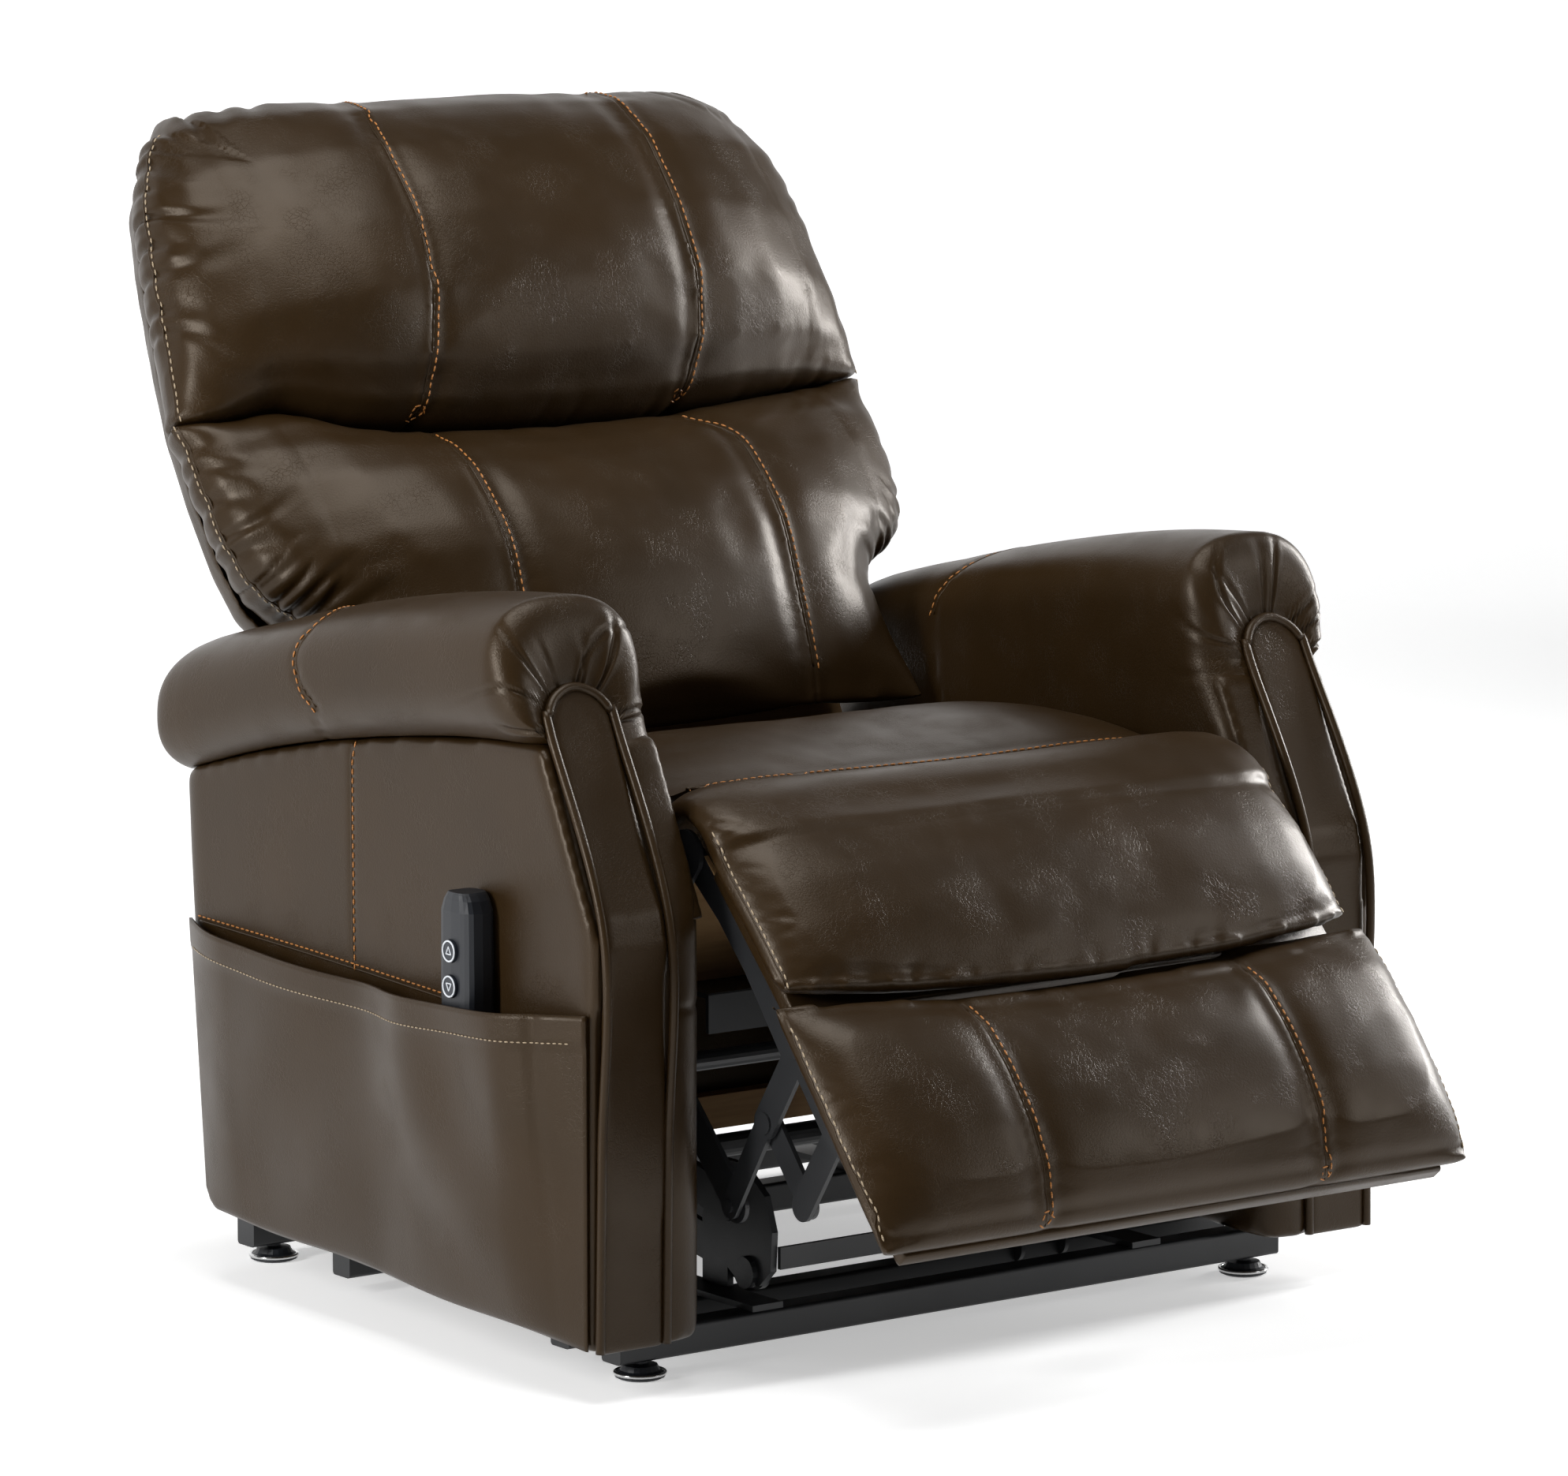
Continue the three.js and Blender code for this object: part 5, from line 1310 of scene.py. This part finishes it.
@dataclass
class Arm:
    """One arm: padded body, gathered roll, inset front panel with piping, and stitched seams."""

    side: int
    word: str
    rear_y: float = 598.0
    knee_z: float = 368.0
    arch: tuple[float, float] = (90.0, 549.0)
    roll_centre: float = 350.5
    roll_half: float = 70.0
    fall_z: float = 372.0
    panel_centre: float = 353.5
    panel_half: float = 31.5
    piping_centre: float = 361.5
    piping_radius: float = 3.8

    def roll_seam(self, y: np.ndarray | float) -> np.ndarray | float:
        """Gives the height of the roll's lower seam at y."""
        return 510 - 84 * (np.minimum(y, self.rear_y) / self.rear_y) ** 2

    def roll_height(self, y: np.ndarray | float) -> np.ndarray | float:
        """Gives the roll's height above its seam at y, with its rear end a little fuller."""
        return 111 - 14 * (np.minimum(y, self.rear_y) / self.rear_y) ** 3 + 7 * np.clip((y - 470) / 110, 0, 1)

    def section(self, angles: np.ndarray, y: float, wide: float,
                tall: float) -> tuple[np.ndarray, np.ndarray]:
        """Gives the roll's section at y.

        Args:
            angles: Angles round the section.
            y: Where it is cut.
            wide: Its width as a share of the full one.
            tall: Its height as a share of the full one.

        Returns:
            The points' x and z on the left side.
        """
        height = self.roll_height(y)
        seat = self.roll_seam(y) + 0.4
        c, s = np.cos(angles), np.sin(angles)
        x = self.roll_centre + np.sign(c) * np.abs(c) ** 0.8 * self.roll_half * wide
        z = np.maximum(seat + height * 0.46 + np.sign(s) * np.abs(s) ** 0.8 * height * 0.54 * tall, seat)
        # On the inside the leather falls straight from the roll's shoulder to below the seat's top.
        fall = (angles - math.pi) / (math.pi / 2)
        within = (fall > 0) & (fall < 1)
        wall, shoulder = self.roll_centre - self.roll_half * wide, seat + height * 0.46
        stops = (0, 0.84, 0.92, 1)
        x = np.where(within, np.interp(fall, stops, (wall, wall, wall + 9, self.roll_centre - 40)), x)
        z = np.where(within, np.interp(fall, stops, (shoulder, self.fall_z, self.fall_z, seat)), z)
        return x, z

    def roll_rings(self) -> np.ndarray:
        """Gives the roll's rings of points in drawing millimetres on the left side.

        The front rings grow from the panel's arch, where the leather is gathered in, to the full section.
        """
        angles = round_angles(232)
        full_y = 116.0
        outer_x, outer_z = self.section(angles, full_y, 1.0, 1.0)
        arch_z = self.arch[1] - self.panel_half
        inner_x = self.panel_centre + (self.panel_half + 1) * np.cos(angles)
        inner_z = np.maximum(arch_z + (self.panel_half + 1) * np.sin(angles), self.roll_seam(80.0) + 0.4)
        within = (angles > math.pi) & (angles < 1.5 * math.pi)
        inner_z = np.where(within, np.minimum(outer_z, arch_z), inner_z)
        inner_x = np.where(within, np.maximum(self.panel_centre - self.panel_half - 1, outer_x), inner_x)
        inner_y = (inner_z - self.knee_z) * self.arch[0] / (self.arch[1] - self.knee_z) + 2.5
        # Low on the inside the corner is tight, and at the top it is as round as the roll.
        low = np.where(within, np.clip((outer_z[0] - outer_z) / 90, 0, 1), 0.0)
        reach = inner_y + (full_y - inner_y) * (1 - low) + 22 * low
        power = 0.85 - 0.45 * low
        rings = []
        for turn in np.linspace(0, math.pi / 2, 20):
            share, back = np.maximum(math.sin(turn), 1e-9) ** power, 1 - math.cos(turn)
            x = inner_x + (outer_x - inner_x) * share
            z = inner_z + (outer_z - inner_z) * share
            rings.append(np.stack([x, inner_y + (reach - inner_y) * back, z], axis=1))
        rear = smooth_path([(562, 1, 1), (582, 0.99, 0.975), (594, 0.965, 0.93), (601, 0.91, 0.85),
                            (603, 0.82, 0.74), (602, 0.7, 0.6)], 2)
        for y, wide, tall in [(y, 1.0, 1.0) for y in np.arange(122, 560, 6)] + [tuple(r) for r in rear]:
            x, z = self.section(angles, y, wide, tall)
            rings.append(np.stack([x, np.full_like(x, y), z], axis=1))
        return np.array(rings)

    def build(self, finishes: Finishes) -> None:
        """Builds the arm's pieces."""
        side = np.array((self.side, 1, 1))
        rings = self.roll_rings()
        roll = loft(f"arm_roll_{self.word}_leather", place_all(rings * side).reshape(rings.shape))
        press(roll, self.roll_folds)
        seam = Seam(welt=1.0, beside=4.0)
        seam.sew(f"arm_roll_seam_{self.word}", roll, [place_all(self.roll_seam_line() * side)], Body.CARRIAGE,
                 finishes, (float(self.side),))
        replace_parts(finish_piece(roll, Body.CARRIAGE, finishes.leather), f"arm_roll_{self.word}")

        body = Padding(voxel=6.0, smooth=3).soften(copy_of(f"arm_body_{self.word}", f"arm_side_{self.word}"))
        press(refine(body), self.body_folds)
        if self.side < 0:
            drop = [(-399, 336, 482), (-399, 336, 400), (-399, 336, 298)]
            level = [(-399, 566, 303.5), (-399, 448, 300.5), (-399, 345, 297), (-399, 180, 290.5)]
            lines = [place_all(smooth_path(path, 5)) for path in (drop, level)]
            seam.sew("arm_side_seam", body, lines, Body.CARRIAGE, finishes, (1.0, 1.0))
        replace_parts(finish_piece(body, Body.CARRIAGE, finishes.leather), f"arm_body_{self.word}")
        self.front_panel(finishes)

    def crossing(self, c: np.ndarray | float, s: np.ndarray | float) -> np.ndarray | float:
        """Gives the crossing seam's y where the roll faces sideways by c and up by s."""
        shoulder = np.maximum(c, 0) * np.clip(s + 0.3, 0, 1) * np.clip(1 - s, 0, 1)
        return 400 - 48 * c - 8 * s + 80 * shoulder

    def roll_seam_line(self) -> np.ndarray:
        """Gives the seam that crosses the roll, from its inner edge over the top and down outside."""
        line = []
        for angle in np.linspace(math.radians(175), math.radians(-18), 70):
            c, s = math.cos(angle), math.sin(angle)
            y = float(self.crossing(c, s))
            height = self.roll_height(y)
            x = self.roll_centre + math.copysign(abs(c) ** 0.8, c) * self.roll_half
            z = self.roll_seam(y) + 0.4 + height * 0.46 + math.copysign(abs(s) ** 0.8, s) * height * 0.54
            line.append((x, y, z))
        return np.array(line)

    def roll_folds(self, rows: np.ndarray) -> np.ndarray:
        """Presses the crossing seam into the roll, gathers its front to the arch and adds slow swelling."""
        x, y, z = (rows * (self.side, 1, 1)).T
        angle = np.arctan2(z - self.roll_seam(y) - self.roll_height(y) * 0.46, x - self.roll_centre)
        away = y - self.crossing(np.cos(angle), np.sin(angle))
        dx, dz = x - self.panel_centre, z - self.arch[1] + self.panel_half
        turn = np.arctan2(dz, dx)
        turn = np.where(turn < -math.pi / 2, turn + 2 * math.pi, turn)
        out = (np.hypot(dz, dx) - self.panel_half) * 0.6 + np.maximum(y - 88, 0) * 0.8
        # The pleats are spaced along an arc of this radius round the arch.
        arc = 60
        pleats = Gathers(-0.1 * arc, 3.35 * arc, 9, 74, 6.0, 2.6, 0.0, 61 + self.side).rise(turn * arc, out)
        pleats *= np.clip((170 - y) / 30, 0, 1)
        return -1.8 * valley(away, 3.0) + pleats + swell(rows, 80, 3.0 + self.side) * ramp(y, 120, 60)

    def body_folds(self, rows: np.ndarray) -> np.ndarray:
        """Adds slow waves to the arm's broad faces, and the seams pressed into them."""
        x, y, z = (rows * (self.side, 1, 1)).T
        inner = np.clip((326 - x) / 8, 0, 1) * np.clip((60 - y) / 20, 0, 1)
        seam = -1.4 * valley(z - 304, 3.0) * inner
        if self.side < 0:
            seam = seam - 1.3 * valley(y - 336, 3.5) * ramp(x, 380, 10) * ramp(z, 300, 8)
        return 0.9 * swell(rows, 95, 6.0 + self.side) + seam

    def front_panel(self, finishes: Finishes) -> None:
        """Builds the inset front panel and the piping round it."""
        panel = copy_of(f"arm_front_panel_{self.word}", f"arm_panel_{self.word}")
        press(Padding(voxel=3.0, smooth=5).soften(panel), lambda rows: 0.8 + 0.5 * swell(rows, 70, 4.0))
        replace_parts(finish_piece(panel, Body.CARRIAGE, finishes.leather),
                    f"arm_front_panel_{self.word}")
        half, spring = self.panel_half, self.arch[1] - self.panel_half
        outline = [(-half, 42.0), (-half, 200.0), (-half, self.knee_z), (-half, spring - 1)]
        outline += [(-half * math.cos(a), spring + half * math.sin(a))
                    for a in np.radians([25, 50, 75, 90, 105, 130, 155])]
        outline += [(half, z) for _, z in reversed(outline[:4])]
        path = []
        for dx, z in outline:
            y = max(0.0, (z - self.knee_z) * self.arch[0] / (self.arch[1] - self.knee_z))
            centre = self.piping_centre - 8 * max(0.0, z - 40) / 510
            path.append((self.side * (centre + dx), y - 1.5, z))
        piping = tube(f"arm_piping_{self.word}", place_all(smooth_path(path, 4)), self.piping_radius * MM, 12)
        finish_piece(piping, Body.CARRIAGE, finishes.leather)


# ------------------------------------------------------------------ pocket and handset


@dataclass
class Pocket:
    """The flat leather pocket on the sitter's right, open at the top, with a stitched hem."""

    front: float = 6.0
    rear: float = 588.0
    thick: float = 1.8
    columns: int = 150
    rows: int = 60
    hem_depth: float = 22.0

    def surface(self, out: float) -> np.ndarray:
        """Gives the pocket's grid of points, pushed out by a distance.

        Args:
            out: Distance outward from the cloth's inner face, in millimetres.

        Returns:
            Array of rows, columns and coordinates, in drawing millimetres.
        """
        v, r = np.meshgrid(np.linspace(0, 1, self.columns), np.linspace(0, 1, self.rows))
        y = self.front + (self.rear - self.front) * v
        top = 307 - 2 * v - 12 * np.sin(math.pi * v)
        corner = 16 * ramp(v, 0.955, 0.045) ** 2.2
        bottom = 43 + 22 * y / 598 + 2.2 * np.sin(y / 46 + 0.6) * np.sin(math.pi * v) + corner
        z = bottom + (top - bottom) * r
        seam = 510 - 84 * (y / 598) ** 2
        lean = 34 * np.maximum(0, (y - 370) / 228) ** 2 * (seam - z) / (seam - bottom)
        ends = np.sin(math.pi / 2 * np.minimum(1, np.minimum(v, 1 - v) / 0.15))
        near = np.exp(-(((y - 147) / 110) ** 4))
        bulge = ends * r**0.35 * (20 + 14 * near)
        hem = 1.2 * ramp(z, top - 26, 4)
        soft = 2.6 * np.sin(y / 37 + z / 85) * np.sin(z / 52 + 1.1 + y / 210) * ends * np.minimum(1, 4 * r)
        drag = 2.6 * np.sin((y - z * 0.75) / 27 + 0.8 * np.sin(z / 44)) * ends * np.clip(1.2 * near * r, 0, 1)
        crease = -3.2 * bell(y - 34 - 0.06 * z, 5.5) * r * ends
        x = -(398.7 + np.maximum(bulge + soft + drag + crease, 0.3 * ends) + (out + hem if out else 0))
        return np.stack([x, y - lean, z], axis=2)

    def build(self, finishes: Finishes) -> None:
        outer, inner = self.surface(self.thick), self.surface(0.0)
        count = self.rows * self.columns
        points = np.vstack([outer.reshape(-1, 3), inner.reshape(-1, 3)])
        faces = []
        for r in range(self.rows - 1):
            for c in range(self.columns - 1):
                a = r * self.columns + c
                quad = (a, a + 1, a + self.columns + 1, a + self.columns)
                faces += [quad, tuple(count + i for i in reversed(quad))]
        rim = list(range(self.columns))
        rim += [r * self.columns + self.columns - 1 for r in range(1, self.rows)]
        rim += [(self.rows - 1) * self.columns + c for c in range(self.columns - 2, -1, -1)]
        rim += [r * self.columns for r in range(self.rows - 2, 0, -1)]
        faces += [(a, count + a, count + b, b) for a, b in zip(rim, rim[1:] + rim[:1])]
        cloth = outward(mesh_object("side_pocket_leather", place_all(points), faces))
        line = outer[-1] - (0, 0, self.hem_depth)
        rows = [on_surface(cloth, place_all(line[4:-4]))]
        fine = Stitching(pitch=5.4, length=3.9, radius=0.6)
        hem = fine.lay("side_pocket_stitches", rows, Body.CARRIAGE, finishes.pale_thread)
        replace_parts(finish_piece(cloth, Body.CARRIAGE, finishes.leather), "side_pocket")


@dataclass
class Handset:
    """The print on the two-button handset that stands in the pocket."""

    print_x: float = -431.65
    centre_y: float = 147.0
    up_z: float = 341.0
    down_z: float = 313.0
    ring: float = 8.0
    arrow: tuple = ((0.0, 3.6), (-3.4, -2.4), (3.4, -2.4))

    def build(self, finishes: Finishes) -> None:
        """Prints a ring and an arrow on each button."""
        for word, z, body, up in (("up", self.up_z, Body.UP, 1), ("down", self.down_z, Body.DOWN, -1)):
            ring = [(self.ring * math.cos(a), self.ring * math.sin(a)) for a in round_angles(40)]
            corners = [np.array((y, up * dz)) for y, dz in self.arrow]
            arrow = [a + (b - a) * t for a, b in zip(corners, corners[1:] + corners[:1])
                     for t in np.arange(8) / 8]
            for label, path, radius in (("ring", ring, 0.75), ("arrow", arrow, 0.5)):
                path = place_all([(self.print_x, self.centre_y + dy, z + dz) for dy, dz in path])
                mark = tube(f"button_{word}_{label}", path, radius * MM, 8, closed=True)
                finish_piece(mark, body, finishes.print_white)


# ------------------------------------------------------------------ frame


@dataclass
class Hardware:
    """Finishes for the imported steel, wood and plastic, with the glides' plated rims."""

    glide_x: float = 311.0
    glide_y: tuple[float, float] = (60.7, 593.7)
    rim_radius: float = 20.0
    rim_thick: float = 1.5
    rim_z: float = 4.6

    def build(self, finishes: Finishes) -> None:
        """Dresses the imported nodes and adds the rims."""
        slots = {part["node"]: part["material_slot"] for part in frame["record"]["subparts"]}
        by_slot = {"black_steel": finishes.steel, "wood": finishes.board, "leather": finishes.leather,
                   "black_plastic": finishes.housing, "button_plastic": finishes.button,
                   "bright_steel": finishes.plated}
        foot = Footrest()
        boards = {
            "chaise_board": BracketedBoard("poplar board with steel brackets, upper", foot.upper.start,
                                           foot.upper.up).make(),
            "ottoman_board": BracketedBoard("poplar board with steel brackets, lower", foot.lower.start,
                                            foot.lower.up).make(),
        }
        for node, piece in frame["nodes"].items():
            piece.data.materials.clear()
            piece.data.materials.append(boards.get(node, by_slot[slots[node]]))
        for word, x in (("left", self.glide_x), ("right", -self.glide_x)):
            for end, y in zip(("front", "rear"), self.glide_y):
                circle = [(x + self.rim_radius * math.cos(a), y + self.rim_radius * math.sin(a), self.rim_z)
                          for a in round_angles(48)]
                rim = tube(f"glide_rim_{end}_{word}", place_all(circle), self.rim_thick * MM, 10, closed=True)
                finish_piece(rim, Body.BASE, finishes.plated)


# ------------------------------------------------------------------ studio


@dataclass
class Studio:
    """The pale floor, the soft lamps and the camera."""

    camera_at: Point = (-3453.4, -4341.0, 1303.7)
    turn: float = -36.724
    look_down: float = 8.365
    lens: float = 161.57

    def build(self) -> None:
        """Builds the studio."""
        scene = bpy.context.scene
        scene.view_settings.view_transform = "Standard"
        self.camera(scene)
        self.backdrop()
        self.world(scene)
        self.lamp("left strip", (-2900, 250, 1250), (0, 250, 560), (0.38, 1.8), 62)
        self.lamp("right strip", (2900, 150, 1250), (0, 250, 560), (0.45, 1.8), 86)
        self.lamp("front right", (2000, -2200, 1400), (0, 0, 450), (1.0, 1.0), 14)
        self.lamp("overhead", (-300, -100, 2900), (0, 150, 450), (2.2, 1.8), 52)

    def camera(self, scene: bpy.types.Scene) -> None:
        """Sets the camera where the photograph was taken from."""
        data = bpy.data.cameras.new("camera")
        data.lens, data.sensor_width, data.clip_end = self.lens, 36.0, 100.0
        camera = in_scene("camera", data)
        a, e = math.radians(self.turn), math.radians(self.look_down)
        behind = Vector((math.sin(a) * math.cos(e), -math.cos(a) * math.cos(e), math.sin(e)))
        camera.rotation_euler = (-behind).to_track_quat("-Z", "Y").to_euler()
        camera.location = place(*self.camera_at)
        scene.camera = camera

    def backdrop(self) -> None:
        """Lays one pale sweep of floor and wall, white to the camera, which keeps the chair's shadow."""
        profile = [(-6, 0), (3, 0), (4.2, 0.25), (4.9, 1.0), (5.1, 6)]
        points = [(x, y, z) for y, z in profile for x in (-9.0, 9.0)]
        faces = [(2 * i, 2 * i + 1, 2 * i + 3, 2 * i + 2) for i in range(len(profile) - 1)]
        sweep = mesh_object("backdrop", np.array(points), faces)
        bench = NodeBench.start("white paper sweep")
        shader = bench.shader
        bench.feed(shader, {"Base Color": linear("f4f4f4"), "Roughness": 0.9})
        path = bench.node("LightPath")
        seen = bench.node("Math", {0: path.outputs["Is Camera Ray"], 1: path.outputs["Is Glossy Ray"]},
                          operation="MAXIMUM")
        seen = bench.node("Math", {0: seen.outputs[0], 1: path.outputs["Is Transmission Ray"]},
                          operation="MAXIMUM")
        # The wall stands farther from the lamps than the floor, so it is given more of its own white.
        apart = bench.node("SeparateXYZ", {0: bench.where})
        share = bench.node("MapRange", {0: apart.outputs["Y"], 1: 1.2, 2: 4.0, 3: 0.46, 4: 0.95})
        glow = bench.node("Emission", {"Color": (1, 1, 1, 1), "Strength": share.outputs[0]})
        both = bench.node("AddShader", {0: shader.outputs[0], 1: glow.outputs[0]})
        mix = bench.node("MixShader", {0: seen.outputs[0], 1: shader.outputs[0], 2: both.outputs[0]})
        bench.feed(bench.output, {"Surface": mix.outputs[0]})
        sweep.data.materials.append(bench.material)

    def world(self, scene: bpy.types.Scene) -> None:
        """Lights the room with an even grey."""
        world = bpy.data.worlds.new("studio")
        world.use_nodes = True
        background = world.node_tree.nodes["Background"]
        background.inputs["Color"].default_value = (1, 1, 1, 1)
        background.inputs["Strength"].default_value = 0.1
        scene.world = world

    def lamp(self, name: str, at: Point, towards: Point, size: tuple[float, float], power: float) -> None:
        """Hangs one soft box.

        Args:
            name: The lamp's name.
            at: Where it hangs, in drawing millimetres.
            towards: The point it faces.
            size: Its width and height in metres.
            power: Its power in watts.
        """
        data = bpy.data.lights.new(name, "AREA")
        data.shape, data.size, data.size_y, data.energy = "ELLIPSE", size[0], size[1], power
        lamp = in_scene(name, data)
        lamp.location = place(*at)
        lamp.rotation_euler = (place(*towards) - lamp.location).to_track_quat("-Z", "Y").to_euler()


def main() -> None:
    """Builds the chair, piece by piece, and its studio."""
    logging.basicConfig(level=logging.INFO, format="%(name)s: %(message)s")
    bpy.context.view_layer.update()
    finishes = Finishes()
    Studio().build()
    Hardware().build(finishes)
    Back().build(finishes)
    Seat().build(finishes)
    Footrest().build(finishes)
    Arm(1, "left").build(finishes)
    Arm(-1, "right").build(finishes)
    Pocket().build(finishes)
    Handset().build(finishes)


if __name__ == "__main__":
    main()
